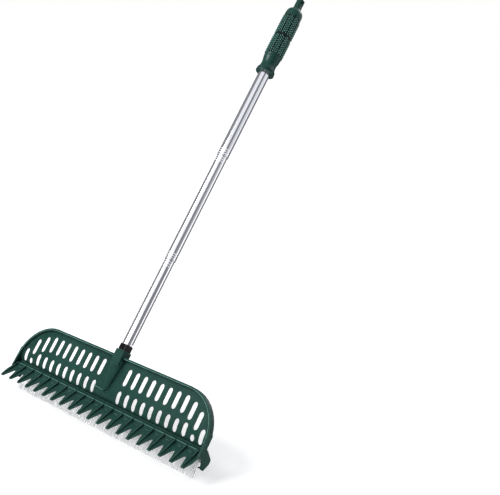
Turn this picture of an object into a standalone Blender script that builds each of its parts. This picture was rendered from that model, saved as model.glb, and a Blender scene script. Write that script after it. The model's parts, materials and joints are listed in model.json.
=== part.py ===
"""Turf rake: a wide moulded comb head with a brush strip on its back edge,
and a sectional tube handle that unscrews. Metres, +Z up.

Each piece is drawn in the head's own frame, where X runs along the head, Y points to the brush
side and Z runs up the handle. The empty called stance then leans the whole rake back, brush down.
"""
import math

import bmesh
import bpy
import numpy as np
from mathutils import Matrix, Vector

# Driving dimensions of the head
head_width = 0.546
plate_height = 0.0985
plate_wall = 0.003
corner_radius = 0.082
rim_wall = 0.0035
rim_depth = 0.013
rim_foot = 0.0157
bend_start = 0.0313
bend_radius = 0.035
bend_angle = math.radians(42)
ledge_length = 0.0245
ledge_slope = math.radians(33)
ledge_wall = 0.003
lip_depth = 0.0115
lip_wall = 0.0025

# Slots in the plate
slot_columns = 10
slot_width = 0.0116
first_slot = 0.0374
last_slot_inset = 0.0376
upper_slot_foot = 0.0476
upper_slot_margin = 0.0162
lower_slot_foot = 0.0120
lower_slot_top = 0.0368
end_slot_inset = 0.0184
end_slot_foot = 0.0112
end_slot_top = 0.0383
last_hole_foot = 0.0108
last_hole_top = 0.0226
last_columns_drop = (0.0172, 0.0055)

# Comb
tine_count = 20
tine_inset = 0.010
tine_reach = 0.055
tine_tip_width = 0.0065
tine_root_width = 0.0200
tine_notch_depth = 0.0245
tine_wall = 0.003
tine_drop = math.radians(38.4)
rib_wall = 0.0024
rib_height = 0.0052
rib_tip_height = 0.0022
bar_radius = 0.0025
bar_place = 0.0107
tick_length = 0.0080
tick_size = 0.0012

# End walls and their legs
leg_width = 0.010
leg_depth = 0.0078
leg_length = 0.0225
leg_rake = math.radians(16)

# Socket, in the plane of the plate and proud of it on both sides
socket_offset = -0.0028
socket_rise = 0.0110
shoulder_rise = 0.0030
shoulder_drop = 0.0125
boss_radius = 0.0164
boss_foot_radius = 0.0150
boss_foot = 0.048
fairing_foot_radius = 0.0078
fairing_foot = 0.0300
fairing_tip = 0.0235
boss_flatness = 0.76
block_width = 0.0245
block_height = 0.030
block_chamfer = 0.0034
bore_radius = 0.0083
bore_depth = 0.0325
skirt_top = 0.052
skirt_foot_radius = 0.0325
skirt_foot = -0.012
skirt_wall = 0.0026
arch_width = 0.0200
arch_foot_width = 0.0370
arch_spring = 0.0280
gusset_rib_wall = 0.0024
gusset_reach = 0.0110
label_size = (0.0170, 0.0012, 0.0240)
label_recess = 0.0008

# Brush strip
strip_end_gap = 0.0012
strip_depth = 0.0078
strip_drop = 0.0075
tuft_count = 54
tuft_margin = 0.005
tuft_radius = 0.0017
tuft_length = 0.033
tuft_splay = math.radians(4)
clip_count = 7
clip_inset = 0.0455
clip_stem = (0.0044, 0.0024)
clip_head = (0.0078, 0.0040, 0.0013)
clip_pocket = 0.0045

# Handle: each tube section is one drawn size larger than the one below it
lower_tube_radius = 0.0108
middle_tube_radius = 0.0118
upper_tube_radius = 0.0129
tube_wall = 0.0014
tube_end_soft = 0.0005
lower_tube_length = 0.1902
middle_tube_length = 0.2490
upper_tube_free = 0.2140
collar_width = 0.0205
collar_height = 0.0125
collar_chamfer = 0.0035
ferrule_spigot = 0.030
ferrule_plug = 0.028
screw_head_radius = 0.0033
screw_head_height = 0.0013
screw_stem_radius = 0.0014
screw_stem_length = 0.0060
insert_length = 0.032
stud_radius = 0.0064
stud_length = 0.026
groove_count = 3
groove_pitch = 0.0050
groove_first = 0.0042
groove_depth = 0.0007
groove_width = 0.0018

# Grip and its end plug
grip_length = 0.1770
grip_radius = 0.0197
grip_flange_radius = 0.0214
grip_waist_radius = 0.0168
grip_neck_end = 0.042
grip_dome = 0.021
grip_groove_count = 10
grip_groove_width = 0.0024
grip_groove_depth = 0.0013
tube_in_grip = 0.148
plug_neck_radius = 0.0080
plug_stem = 0.024
plug_disc = 0.0026
tab_size = (0.0110, 0.0175, 0.0235)
tab_hole_radius = 0.0042

# Standing pose and fits
lean_back = math.radians(35)
seat_gap = 0.0003
running_gap = 0.0003
cutter_reach = 0.12
round_steps = 22
fine_steps = 16

half_width = head_width / 2
tine_row = head_width - 2 * tine_inset
tine_pitch = tine_row / (tine_count - 1)
socket_top = plate_height + socket_rise
tube_foot = socket_top + seat_gap + collar_height + seat_gap
lower_joint = tube_foot + lower_tube_length
upper_joint = lower_joint + middle_tube_length
grip_foot = upper_joint + upper_tube_free
ledge_dir = Vector((0, math.cos(ledge_slope), -math.sin(ledge_slope)))
ledge_up = Vector((0, math.sin(ledge_slope), math.cos(ledge_slope)))
tine_dir = Vector((0, -math.sin(tine_drop), -math.cos(tine_drop)))
tine_up = Vector((0, -math.cos(tine_drop), math.sin(tine_drop)))
junction = Vector((0, bend_radius * (1 - math.cos(bend_angle)),
                   bend_start - bend_radius * math.sin(bend_angle)))
ledge_edge = junction + ledge_dir * ledge_length

for old in list(bpy.data.objects):
    bpy.data.objects.remove(old)

parts_collection = bpy.data.collections.new("turf_rake")
cutter_collection = bpy.data.collections.new("turf_rake_cutters")
for holder in (parts_collection, cutter_collection):
    bpy.context.scene.collection.children.link(holder)
stance = bpy.data.objects.new("stance", None)
parts_collection.objects.link(stance)


def make_material(name, colour, roughness, metallic=0.0):
    """A plain Principled material."""
    material = bpy.data.materials.new(name)
    material.use_nodes = True
    shader = material.node_tree.nodes["Principled BSDF"]
    shader.inputs["Base Color"].default_value = (*colour, 1.0)
    shader.inputs["Roughness"].default_value = roughness
    shader.inputs["Metallic"].default_value = metallic
    material.diffuse_color = (*colour, 1.0)
    return material


green_plastic = make_material("green_plastic", (0.020, 0.085, 0.060), 0.42)
black_plastic = make_material("black_plastic", (0.012, 0.012, 0.013), 0.38)
clear_nylon = make_material("clear_nylon", (0.80, 0.81, 0.82), 0.35)
satin_tube = make_material("satin_tube", (0.62, 0.63, 0.66), 0.28, 1.0)
insert_plastic = make_material("insert_plastic", (0.035, 0.035, 0.038), 0.45)
grip_rubber = make_material("grip_rubber", (0.016, 0.070, 0.050), 0.55)
screw_steel = make_material("screw_steel", (0.68, 0.68, 0.66), 0.30, 1.0)


def add_object(name, mesh, material=None, collection=cutter_collection):
    """Put a mesh in the scene as a working shape, hidden from the finished part."""
    obj = bpy.data.objects.new(name, mesh)
    collection.objects.link(obj)
    if material:
        mesh.materials.clear()
        mesh.materials.append(material)
    if collection is cutter_collection:
        obj.hide_render = True
        obj.display_type = "WIRE"
    return obj


def finish(obj, material, crease=40):
    """Turn a working shape into a finished node: its collection, material and shading."""
    cutter_collection.objects.unlink(obj)
    parts_collection.objects.link(obj)
    obj.hide_render = False
    obj.display_type = "TEXTURED"
    obj.parent = stance
    obj.data.materials.clear()
    obj.data.materials.append(material)
    obj.data.shade_smooth()
    obj.data.set_sharp_from_angle(angle=math.radians(crease))
    return obj


def evaluated_mesh(obj):
    """The mesh of an object with its modifiers applied."""
    depsgraph = bpy.context.evaluated_depsgraph_get()
    return bpy.data.meshes.new_from_object(obj.evaluated_get(depsgraph))


def combine(base, other, operation):
    """Apply one boolean between two working shapes and drop the second."""
    modifier = base.modifiers.new(operation.lower(), "BOOLEAN")
    modifier.operation = operation
    modifier.object = other
    mesh = evaluated_mesh(base)
    base.modifiers.clear()
    base.data = mesh
    bpy.data.objects.remove(other)
    return base


def weld(mesh):
    """Merge the loose caps of a converted curve and turn its faces outwards."""
    work = bmesh.new()
    work.from_mesh(mesh)
    bmesh.ops.remove_doubles(work, verts=work.verts, dist=0.000001)
    bmesh.ops.recalc_face_normals(work, faces=work.faces)
    work.to_mesh(mesh)
    work.free()


def outline_prism(name, outline, thickness, frame):
    """A flat closed outline, drawn as a filled 2D curve, with a thickness, set in a frame."""
    curve = bpy.data.curves.new(name, "CURVE")
    curve.dimensions = "2D"
    curve.fill_mode = "BOTH"
    curve.extrude = thickness / 2
    spline = curve.splines.new("POLY")
    spline.points.add(len(outline) - 1)
    for point, place in zip(spline.points, outline):
        point.co = (place[0], place[1], 0, 1)
    spline.use_cyclic_u = True
    obj = add_object(name, curve)
    mesh = evaluated_mesh(obj)
    bpy.data.objects.remove(obj)
    weld(mesh)
    mesh.transform(frame)
    return add_object(name, mesh)


def across(x=0.0):
    """Frame for a section drawn in Y and Z, with its thickness along the head."""
    return Matrix.Translation((x, 0, 0)) @ Matrix(((0, 0, 1, 0), (1, 0, 0, 0),
                                                   (0, 1, 0, 0), (0, 0, 0, 1)))


def facing(y=0.0):
    """Frame for an outline drawn in X and Z, with its thickness through the plate."""
    return Matrix.Translation((0, y, 0)) @ Matrix(((1, 0, 0, 0), (0, 0, -1, 0),
                                                   (0, 1, 0, 0), (0, 0, 0, 1)))


def on_comb(place=0.0):
    """Frame for an outline drawn on the comb sheet: X along the head, Y up the tines."""
    origin = junction + tine_dir * tine_reach + tine_up * place
    up = -tine_dir
    return Matrix(((1, 0, 0, 0), (0, up.y, tine_up.y, origin.y),
                   (0, up.z, tine_up.z, origin.z), (0, 0, 0, 1)))


def on_ledge(x, along, lift):
    """Frame on the ledge: X along the head, Y out towards its edge, Z off its upper face."""
    origin = junction + ledge_dir * along + ledge_up * lift
    return Matrix(((1, 0, 0, x), (0, ledge_dir.y, ledge_up.y, origin.y),
                   (0, ledge_dir.z, ledge_up.z, origin.z), (0, 0, 0, 1)))


def arc(centre, radius, start, end, steps):
    """Points on an arc, with angles in radians."""
    angles = np.linspace(start, end, steps + 1)
    return [(centre[0] + radius * math.cos(a), centre[1] + radius * math.sin(a)) for a in angles]


def box(name, size, centre, frame=None):
    """A block from Blender's cube primitive."""
    mesh = bpy.data.meshes.new(name)
    work = bmesh.new()
    bmesh.ops.create_cube(work, size=1)
    bmesh.ops.scale(work, vec=size, verts=work.verts)
    bmesh.ops.translate(work, vec=centre, verts=work.verts)
    work.to_mesh(mesh)
    work.free()
    if frame:
        mesh.transform(frame)
    return add_object(name, mesh)


def turned(name, profile, place, closed=False, steps=round_steps):
    """A profile of (radius, height) pairs turned about the handle's axis by a Screw modifier."""
    mesh = bpy.data.meshes.new(name)
    work = bmesh.new()
    points = [work.verts.new((radius, 0, height)) for radius, height in profile]
    pairs = list(zip(points, points[1:]))
    if closed:
        pairs.append((points[-1], points[0]))
    for first, second in pairs:
        work.edges.new((first, second))
    work.to_mesh(mesh)
    work.free()
    obj = add_object(name, mesh)
    screw = obj.modifiers.new("turn", "SCREW")
    screw.steps = steps
    screw.render_steps = steps
    screw.use_merge_vertices = True
    screw.merge_threshold = 0.00001
    obj.location = place
    return obj


def settle(obj):
    """Apply an object's modifiers and its place to its mesh."""
    mesh = evaluated_mesh(obj)
    obj.modifiers.clear()
    obj.data = mesh
    obj.data.transform(obj.matrix_basis)
    obj.matrix_basis = Matrix()
    return obj


def join_solids(name, solids):
    """Gather separate working solids in one mesh, as one tool for a boolean."""
    work = bmesh.new()
    for solid in solids:
        work.from_mesh(solid.data)
        bpy.data.objects.remove(solid)
    mesh = bpy.data.meshes.new(name)
    work.to_mesh(mesh)
    work.free()
    return add_object(name, mesh)


def plate_section(front, back):
    """Section of the plate: straight down, then bent back to the junction."""
    centre = (bend_radius, bend_start)
    outer = arc(centre, bend_radius - front, math.pi, math.pi + bend_angle, 6)
    inner = arc(centre, bend_radius - back, math.pi + bend_angle, math.pi, 6)
    return [(front, plate_height)] + outer + inner + [(back, plate_height)]


def head_outline(inset, foot):
    """Outline of the plate seen from the front, with round upper corners."""
    radius = corner_radius - inset
    side = half_width - inset
    top = plate_height - inset
    right = arc((side - radius, top - radius), radius, 0, math.pi / 2, 12)
    left = arc((radius - side, top - radius), radius, math.pi / 2, math.pi, 12)
    return right + left + [(-side, foot), (side, foot)]


def outline_band(name, outline, depth, wall):
    """A wall of even thickness that follows an open outline, from a ribbon and Solidify."""
    curve = bpy.data.curves.new(name, "CURVE")
    curve.dimensions = "2D"
    curve.fill_mode = "NONE"
    curve.extrude = depth / 2
    spline = curve.splines.new("POLY")
    spline.points.add(len(outline) - 1)
    for point, place in zip(spline.points, outline):
        point.co = (place[0], place[1], 0, 1)
    ribbon = add_object(name, curve)
    mesh = evaluated_mesh(ribbon)
    bpy.data.objects.remove(ribbon)
    weld(mesh)
    mesh.transform(facing())
    band = add_object(name, mesh)
    solidify = band.modifiers.new("wall", "SOLIDIFY")
    solidify.thickness = wall
    solidify.offset = 0
    solidify.use_even_offset = True
    settle(band)
    weld(band.data)
    return band


def slot_shape(name, x, foot, top, width=slot_width):
    """One round-ended slot, long enough to pass through the plate and its bend."""
    radius = width / 2
    upper = arc((x, top - radius), radius, 0, math.pi, 6)
    lower = arc((x, foot + radius), radius, math.pi, 2 * math.pi, 6)
    return outline_prism(name, upper + lower, cutter_reach, facing())


def build_slots():
    """Two rows of slots a side; the last columns follow the rounded corner."""
    slots = []
    upper_slot_top = plate_height - upper_slot_margin
    columns = np.linspace(first_slot, half_width - last_slot_inset, slot_columns)
    for side in (-1, 1):
        for column, place in enumerate(columns):
            x = side * float(place)
            from_end = slot_columns - 1 - column
            drop = last_columns_drop[from_end] if from_end < len(last_columns_drop) else 0
            slots.append(slot_shape("upper_slot", x, upper_slot_foot - drop, upper_slot_top - drop))
            if from_end:
                slots.append(slot_shape("lower_slot", x, lower_slot_foot, lower_slot_top))
            else:
                slots.append(slot_shape("last_hole", x, last_hole_foot, last_hole_top))
        x = side * (half_width - end_slot_inset)
        slots.append(slot_shape("end_slot", x, end_slot_foot, end_slot_top))
    return join_solids("slots", slots)


def build_plate():
    """The plate: its section run along the head, cut to the outline, with a rim both ways."""
    half = plate_wall / 2
    plate = outline_prism("head", plate_section(-half, half), head_width * 1.1, across())
    below = junction.z - plate_height
    shape = outline_prism("plate_shape", head_outline(rim_wall / 2, below), cutter_reach, facing())
    combine(plate, shape, "INTERSECT")
    outline = head_outline(rim_wall / 2, rim_foot)
    rim = outline_band("rim", outline[-1:] + outline[:-1], rim_depth, rim_wall)
    return combine(plate, rim, "UNION")


def build_ledge():
    """The flat ledge on the brush side, with a lip that hides the strip."""
    length = head_width - rim_wall
    half = ledge_wall / 2
    start = junction - ledge_dir * 0.001
    top_edge = ledge_edge + ledge_up * half
    section = [start - ledge_up * half, start + ledge_up * half, top_edge,
               Vector((0, top_edge.y, top_edge.z - lip_depth)),
               Vector((0, top_edge.y - lip_wall, top_edge.z - lip_depth))]
    inner_top = ledge_edge - ledge_up * half
    reach = (inner_top.y - (top_edge.y - lip_wall)) / ledge_dir.y
    section.append(inner_top - ledge_dir * reach)
    return outline_prism("ledge", [(p.y, p.z) for p in section], length, across())


def notch_outline(x, opening, foot):
    """The gap between two tines: narrow and round at the top, wide at the tips."""
    root = tine_pitch - tine_root_width
    top = arc((x, tine_notch_depth - root / 2), root / 2, 0, math.pi, 6)
    return top + [(x - opening / 2, foot), (x + opening / 2, foot)]


def build_comb():
    """The comb sheet from the junction to the tips, with round-topped gaps between tines."""
    pitch = tine_pitch
    half = tine_wall / 2
    start = junction - tine_dir * 0.0005
    end = junction + tine_dir * tine_reach
    corners = [start - tine_up * half, end - tine_up * half * 0.7,
               end + tine_up * half * 0.7, start + tine_up * half]
    sheet = outline_prism("comb", [(p.y, p.z) for p in corners], head_width - rim_wall, across())
    below = 0.004
    opening = pitch - tine_tip_width + (tine_root_width - tine_tip_width) * below / tine_notch_depth
    gaps = []
    for number in range(tine_count - 1):
        x = (number + 0.5) * pitch - tine_row / 2
        gaps.append(outline_prism("gap", notch_outline(x, opening, -below), 0.02, on_comb()))
    for side in (-1, 1):
        tip = side * (tine_row / 2 + tine_tip_width / 2)
        root = side * (half_width - rim_wall * 0.3)
        outer = side * (half_width + 0.01)
        corner = [(tip, -below), (tip, 0), (root, tine_notch_depth * 0.8),
                  (outer, tine_notch_depth * 0.8), (outer, -below)]
        gaps.append(outline_prism("corner_gap", corner, 0.02, on_comb()))
    return combine(sheet, join_solids("gaps", gaps), "DIFFERENCE")


def build_comb_ribs():
    """One upright rib a tine, from the bar to near the tip, and a short ridge between ribs."""
    pitch = tine_pitch
    foot = tine_wall * 0.25
    start = junction + tine_dir * bar_place
    end = junction + tine_dir * (tine_reach - 0.0008)
    corners = [start + tine_up * foot, end + tine_up * foot,
               end + tine_up * (foot + rib_tip_height), start + tine_up * (foot + rib_height)]
    section = [(p.y, p.z) for p in corners]
    places = [number * pitch - tine_row / 2 for number in range(tine_count)]
    ribs = [outline_prism("rib", section, rib_wall, across(x)) for x in places]
    up_the_sheet = tine_reach - bar_place - bar_radius - 0.0045
    for x in places[:-1]:
        centre = (x + pitch / 2, up_the_sheet, tine_wall / 2)
        ribs.append(box("tick", (tick_length, tick_size, tick_size), centre, on_comb()))
    return join_solids("ribs", ribs)


def build_bar():
    """The round bar along the foot of the plate, where the tines start."""
    centre = junction + tine_dir * bar_place + tine_up * tine_wall * 0.5
    outline = arc((centre.y, centre.z), bar_radius, 0, 2 * math.pi * 11 / 12, 11)
    return outline_prism("bar", outline, head_width - rim_wall * 1.5, across())


def leg_frame():
    """Foot and direction of an end leg, which hangs from the front of the ledge."""
    top = ledge_edge - ledge_dir * (leg_depth * 0.5) - ledge_up * ledge_wall * 0.5
    direction = Vector((0, -math.sin(leg_rake), -math.cos(leg_rake)))
    return top, direction


def build_end(side):
    """End wall of the head: it closes plate, ledge and comb, and runs on into a leg."""
    top, direction = leg_frame()
    cross = Vector((0, -direction.z, direction.y))
    foot = top + direction * leg_length
    half = rim_depth / 2 - 0.0002
    chamfer = leg_depth * 0.25
    tip = [foot + cross * (leg_depth * 0.40), foot + cross * (leg_depth * 0.40 - chamfer),
           foot - cross * (leg_depth * 0.40)]
    tip[0] = tip[0] - direction * chamfer
    comb_low = junction + tine_dir * (bar_place + 0.010) - tine_up * tine_wall
    comb_high = junction + tine_dir * (bar_place + 0.012) + tine_up * tine_wall
    edge = ledge_edge + ledge_up * ledge_wall * 0.5
    wall = [(-half, bend_start + 0.004), (-half, comb_high.z + 0.006), (comb_high.y, comb_high.z),
            (comb_low.y, comb_low.z), (junction.y - 0.002, junction.z - 0.016)]
    wall += [(tip[2].y, tip[2].z), (tip[1].y, tip[1].z), (tip[0].y, tip[0].z)]
    crease = junction + ledge_dir * 0.004 + ledge_up * (ledge_wall * 0.5 + 0.0002)
    wall += [(edge.y + 0.0003, edge.z - leg_depth), (edge.y + 0.0003, edge.z + 0.0002),
             (crease.y, crease.z), (half, crease.z + 0.003), (half, bend_start + 0.004)]
    x = side * (half_width - rim_wall / 2 - 0.0003)
    end = outline_prism("end_wall", wall, rim_wall + 0.0003, across(x))
    leg = [top + cross * leg_depth * 0.5, top - cross * leg_depth * 0.5,
           foot - cross * leg_depth * 0.38 - direction * 0.0004,
           foot + cross * leg_depth * 0.38 - direction * chamfer]
    x = side * (half_width - leg_width / 2 - 0.0005)
    post = outline_prism("leg", [(p.y, p.z) for p in leg], leg_width - 0.0006, across(x))
    hollow_low = [top + cross * leg_depth * 0.26 + direction * 0.006,
                  top - cross * leg_depth * 0.7 + direction * 0.006,
                  foot - cross * leg_depth * 0.7 - direction * 0.003,
                  foot + cross * leg_depth * 0.10 - direction * 0.003]
    x = side * (half_width - leg_width * 0.65)
    hollow = outline_prism("leg_hollow", [(p.y, p.z) for p in hollow_low], leg_width, across(x))
    combine(post, hollow, "DIFFERENCE")
    return combine(end, post, "UNION")


def brush_side_space():
    """The space above the ledge and behind the plate, for trimming the socket's skirt."""
    centre = (bend_radius, bend_start)
    plate_line = arc(centre, bend_radius, math.pi, math.pi + bend_angle, 6)
    far = junction + ledge_dir * (ledge_length - 0.001)
    outline = [(0, skirt_top + 0.004)] + plate_line + [(far.y, far.z), (far.y, skirt_top + 0.004)]
    return outline_prism("brush_side", outline, 0.12, across())


def build_skirt():
    """A bell-shaped skirt that carries the socket's walls down onto the ledge."""
    steps = 7
    outer = []
    inner = []
    top_radius = boss_foot_radius
    for step in range(steps + 1):
        share = step / steps
        height = skirt_top + (skirt_foot - skirt_top) * share
        radius = top_radius + (skirt_foot_radius - top_radius) * share ** 2.4
        outer.append((radius, height))
        inner.append((radius - skirt_wall, height))
    profile = outer + inner[::-1]
    skirt = settle(turned("skirt", profile, (0, socket_offset, 0), closed=True, steps=32))
    return combine(skirt, brush_side_space(), "INTERSECT")


def arch_cutter():
    """The arch that opens the skirt towards the brush side."""
    crown = arc((0, arch_spring), arch_width / 2, 0, math.pi, 8)
    outline = crown + [(-arch_foot_width / 2, skirt_foot), (arch_foot_width / 2, skirt_foot)]
    depth = cutter_reach / 2
    front = plate_wall
    return outline_prism("arch", outline, depth, facing(front + depth / 2))


def build_gusset_rib():
    """The thin rib that stands in the middle of the arch, down to the ledge."""
    foot = junction + ledge_dir * (ledge_length * 0.70)
    top = boss_foot + 0.004
    outline = [(plate_wall * 0.2, top), (gusset_reach - 0.003, top), (gusset_reach, boss_foot - 0.006),
               (foot.y, foot.z), (junction.y, junction.z)]
    centre = (bend_radius, bend_start)
    outline += arc(centre, bend_radius, math.pi + bend_angle * 0.8, math.pi, 4)
    return outline_prism("gusset_rib", outline, gusset_rib_wall, across())


def flattened_boss(name, profile, front):
    """A turned hump, flattened through the plate and kept on one side of its middle."""
    boss = settle(turned(name, profile, (0, 0, 0), steps=32))
    boss.data.transform(Matrix.Diagonal((1, boss_flatness, 1, 1)))
    boss.data.transform(Matrix.Translation((0, socket_offset, 0)))
    side = -1 if front else 1
    reach = cutter_reach / 2
    middle = (0, side * (reach / 2 - plate_wall * 0.3), socket_top / 2)
    keep = box(name + "_side", (cutter_reach, reach, 2 * cutter_reach + socket_top), middle)
    return combine(boss, keep, "INTERSECT")


def build_socket():
    """The square block, the humps that carry it on both sides of the plate, and the skirt."""
    shoulder = plate_height - shoulder_drop
    neck = (block_width / 2 - block_chamfer, plate_height + shoulder_rise)
    brush_profile = [(0, neck[1]), neck, (boss_radius, shoulder), (boss_foot_radius, boss_foot),
                     (0, boss_foot)]
    fairing = [(0, neck[1]), neck, (boss_radius, shoulder), (fairing_foot_radius, fairing_foot),
               (fairing_foot_radius * 0.72, fairing_foot * 0.4 + fairing_tip * 0.6), (0, fairing_tip)]
    socket = flattened_boss("socket", brush_profile, False)
    combine(socket, flattened_boss("fairing", fairing, True), "UNION")
    size = (block_width, block_width, block_height)
    block = box("block", size, (0, socket_offset, socket_top - block_height / 2))
    bevel = block.modifiers.new("soft_edges", "BEVEL")
    bevel.width = block_chamfer
    bevel.segments = 3
    bevel.limit_method = "WEIGHT"
    mark_upright_edges(block.data)
    combine(socket, settle(block), "UNION")
    combine(socket, build_skirt(), "UNION")
    combine(socket, arch_cutter(), "DIFFERENCE")
    return combine(socket, build_gusset_rib(), "UNION")


def mark_upright_edges(mesh):
    """Give a block's upright edges the weight that lets Bevel round them alone."""
    work = bmesh.new()
    work.from_mesh(mesh)
    weight = work.edges.layers.float.new("bevel_weight_edge")
    for edge in work.edges:
        along = edge.verts[0].co - edge.verts[1].co
        edge[weight] = 1.0 if abs(along.z) > 0.9 * along.length else 0.0
    work.to_mesh(mesh)
    work.free()


def label_frame(depth):
    """Middle of the label's seat on the block, at a depth below the block's face."""
    return (0, socket_offset + block_width / 2 - depth, socket_top - block_height / 2)


def label_recess_cutter():
    """Shallow recess for the label plate."""
    size = (label_size[0] + 2 * seat_gap, 2 * (label_recess + seat_gap), label_size[2] + 2 * seat_gap)
    return box("label_recess", size, label_frame(0))


def build_label_plate():
    """Bare plate on the brush side of the socket block."""
    label = box("label_plate", label_size, label_frame(label_recess - label_size[1] / 2))
    bevel = label.modifiers.new("soft_edges", "BEVEL")
    bevel.width = 0.0003
    bevel.segments = 1
    settle(label)
    label.name = "label_plate"
    return finish(label, black_plastic, 30)


def clip_places():
    """Positions of the clips along the ledge."""
    row = head_width - 2 * clip_inset
    return [row * (number / (clip_count - 1) - 0.5) for number in range(clip_count)]


def strip_middle():
    """Distance of the strip's middle from the junction, along the ledge."""
    lip_face = ledge_edge.y + ledge_up.y * ledge_wall / 2 - lip_wall
    return (lip_face - seat_gap - strip_depth / 2 - junction.y) / ledge_dir.y


def clip_windows():
    """Windows in the ledge for the stems of the clips."""
    width = clip_stem[0] + 2 * seat_gap
    depth = clip_stem[1] + 2 * seat_gap
    along = strip_middle()
    return join_solids("windows", [
        box("window", (width, depth, ledge_wall * 3), (0, 0, 0), on_ledge(x, along, 0))
        for x in clip_places()])


def build_head():
    """The whole head is one moulding: plate, rim, ledge, comb, end legs and socket."""
    head = build_plate()
    for piece in (build_ledge(), build_comb(), build_bar(), build_end(-1), build_end(1)):
        combine(head, piece, "UNION")
    combine(head, build_comb_ribs(), "UNION")
    combine(head, build_slots(), "DIFFERENCE")
    combine(head, build_socket(), "UNION")
    bore_foot = socket_top - bore_depth
    bore = [(0, socket_top + 0.01), (bore_radius, socket_top + 0.01),
            (bore_radius, bore_foot), (0, bore_foot)]
    combine(head, settle(turned("bore", bore, (0, socket_offset, 0))), "DIFFERENCE")
    combine(head, clip_windows(), "DIFFERENCE")
    combine(head, label_recess_cutter(), "DIFFERENCE")
    head.name = "head"
    return finish(head, green_plastic, 30)


def strip_section():
    """Section of the strip: its top lies under the ledge, its front behind the lip."""
    lip_face = ledge_edge.y + ledge_up.y * ledge_wall / 2 - lip_wall
    front = lip_face - seat_gap
    back = front - strip_depth
    under = junction - ledge_up * (ledge_wall / 2 + seat_gap)
    slope = ledge_dir.z / ledge_dir.y
    top_front = under.z + (front - under.y) * slope
    top_back = under.z + (back - under.y) * slope
    foot = top_front - strip_drop
    return front, back, top_front, top_back, foot


def build_strip():
    """Carrier bar with its row of nylon tufts, in one piece, and pockets for the clips."""
    front, back, top_front, top_back, foot = strip_section()
    section = [(front, foot), (front, top_front), (back, top_back), (back, foot)]
    length = head_width - 2 * leg_width - 2 * strip_end_gap
    strip = outline_prism("brush_strip", section, length, across())
    middle = (front + back) / 2
    tufts = []
    room = length - 2 * tuft_margin
    for number in range(tuft_count):
        x = room * ((number + 0.5) / tuft_count - 0.5)
        profile = [(0, 0.001), (tuft_radius, 0.001), (tuft_radius * 1.25, -tuft_length),
                   (0, -tuft_length)]
        tuft = turned("tuft", profile, (x, middle, foot), steps=6)
        tuft.rotation_euler = (tuft_splay, 0, 0)
        tufts.append(settle(tuft))
    combine(strip, join_solids("tufts", tufts), "UNION")
    width = clip_stem[0] + 2 * seat_gap
    depth = clip_stem[1] + 2 * seat_gap
    pocket_top = -(ledge_wall / 2)
    pockets = join_solids("pockets", [
        box("pocket", (width, depth, clip_pocket * 2 + 2 * seat_gap), (0, 0, 0),
            on_ledge(x, strip_middle(), pocket_top)) for x in clip_places()])
    combine(strip, pockets, "DIFFERENCE")
    strip.name = "brush_strip"
    return finish(strip, clear_nylon)


def build_clip(number, x):
    """One clip: a flat head on the ledge and a stem down into the strip."""
    head_lift = ledge_wall / 2 + seat_gap
    frame = on_ledge(x, strip_middle(), 0)
    head = box("clip", clip_head, (0, 0, head_lift + clip_head[2] / 2), frame)
    bottom = -(ledge_wall / 2) - clip_pocket
    height = head_lift + clip_head[2] / 2 - bottom
    stem = box("stem", (clip_stem[0], clip_stem[1], height), (0, 0, bottom + height / 2), frame)
    combine(head, stem, "UNION")
    head.name = f"strip_clip_{number}"
    return finish(head, black_plastic, 30)


def handle_place(height):
    """A point on the handle's axis."""
    return (0, socket_offset, height)


def build_ferrule():
    """Square collar between socket and tube, with a spigot below and a plug above."""
    foot = socket_top + seat_gap
    plug = lower_tube_radius - tube_wall - seat_gap
    spigot = bore_radius - running_gap
    middle = collar_height / 2
    profile = [(0, collar_height + ferrule_plug), (plug - 0.001, collar_height + ferrule_plug),
               (plug, collar_height + ferrule_plug - 0.001), (plug, middle), (spigot, middle),
               (spigot, 0.001 - ferrule_spigot), (spigot - 0.001, -ferrule_spigot),
               (0, -ferrule_spigot)]
    ferrule = settle(turned("ferrule", profile, handle_place(foot), steps=round_steps))
    size = (collar_width, collar_width, collar_height)
    collar = box("collar", size, (0, socket_offset, foot + middle))
    bevel = collar.modifiers.new("soft_edges", "BEVEL")
    bevel.width = collar_chamfer
    bevel.segments = 3
    bevel.limit_method = "WEIGHT"
    mark_upright_edges(collar.data)
    combine(ferrule, settle(collar), "UNION")
    face = socket_offset + collar_width / 2
    hole = bore_along_y(screw_stem_radius + seat_gap, face + 0.002,
                        face - screw_stem_length - seat_gap, foot + middle)
    combine(ferrule, hole, "DIFFERENCE")
    centre_on_axis(ferrule, foot)
    ferrule.name = "ferrule"
    return finish(ferrule, black_plastic, 30)


def bore_along_y(radius, start, end, height):
    """A round tool along Y."""
    mesh = bpy.data.meshes.new("cross_bore")
    work = bmesh.new()
    bmesh.ops.create_cone(work, cap_ends=True, segments=12, radius1=radius, radius2=radius,
                          depth=abs(start - end))
    work.to_mesh(mesh)
    work.free()
    turn = Matrix.Rotation(math.radians(90), 4, "X")
    mesh.transform(Matrix.Translation((0, (start + end) / 2, height)) @ turn)
    return add_object("cross_bore", mesh)


def centre_on_axis(obj, height):
    """Move an object's origin to the handle's axis."""
    place = Vector(handle_place(height))
    obj.data.transform(Matrix.Translation(-place))
    obj.location = place


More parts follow.
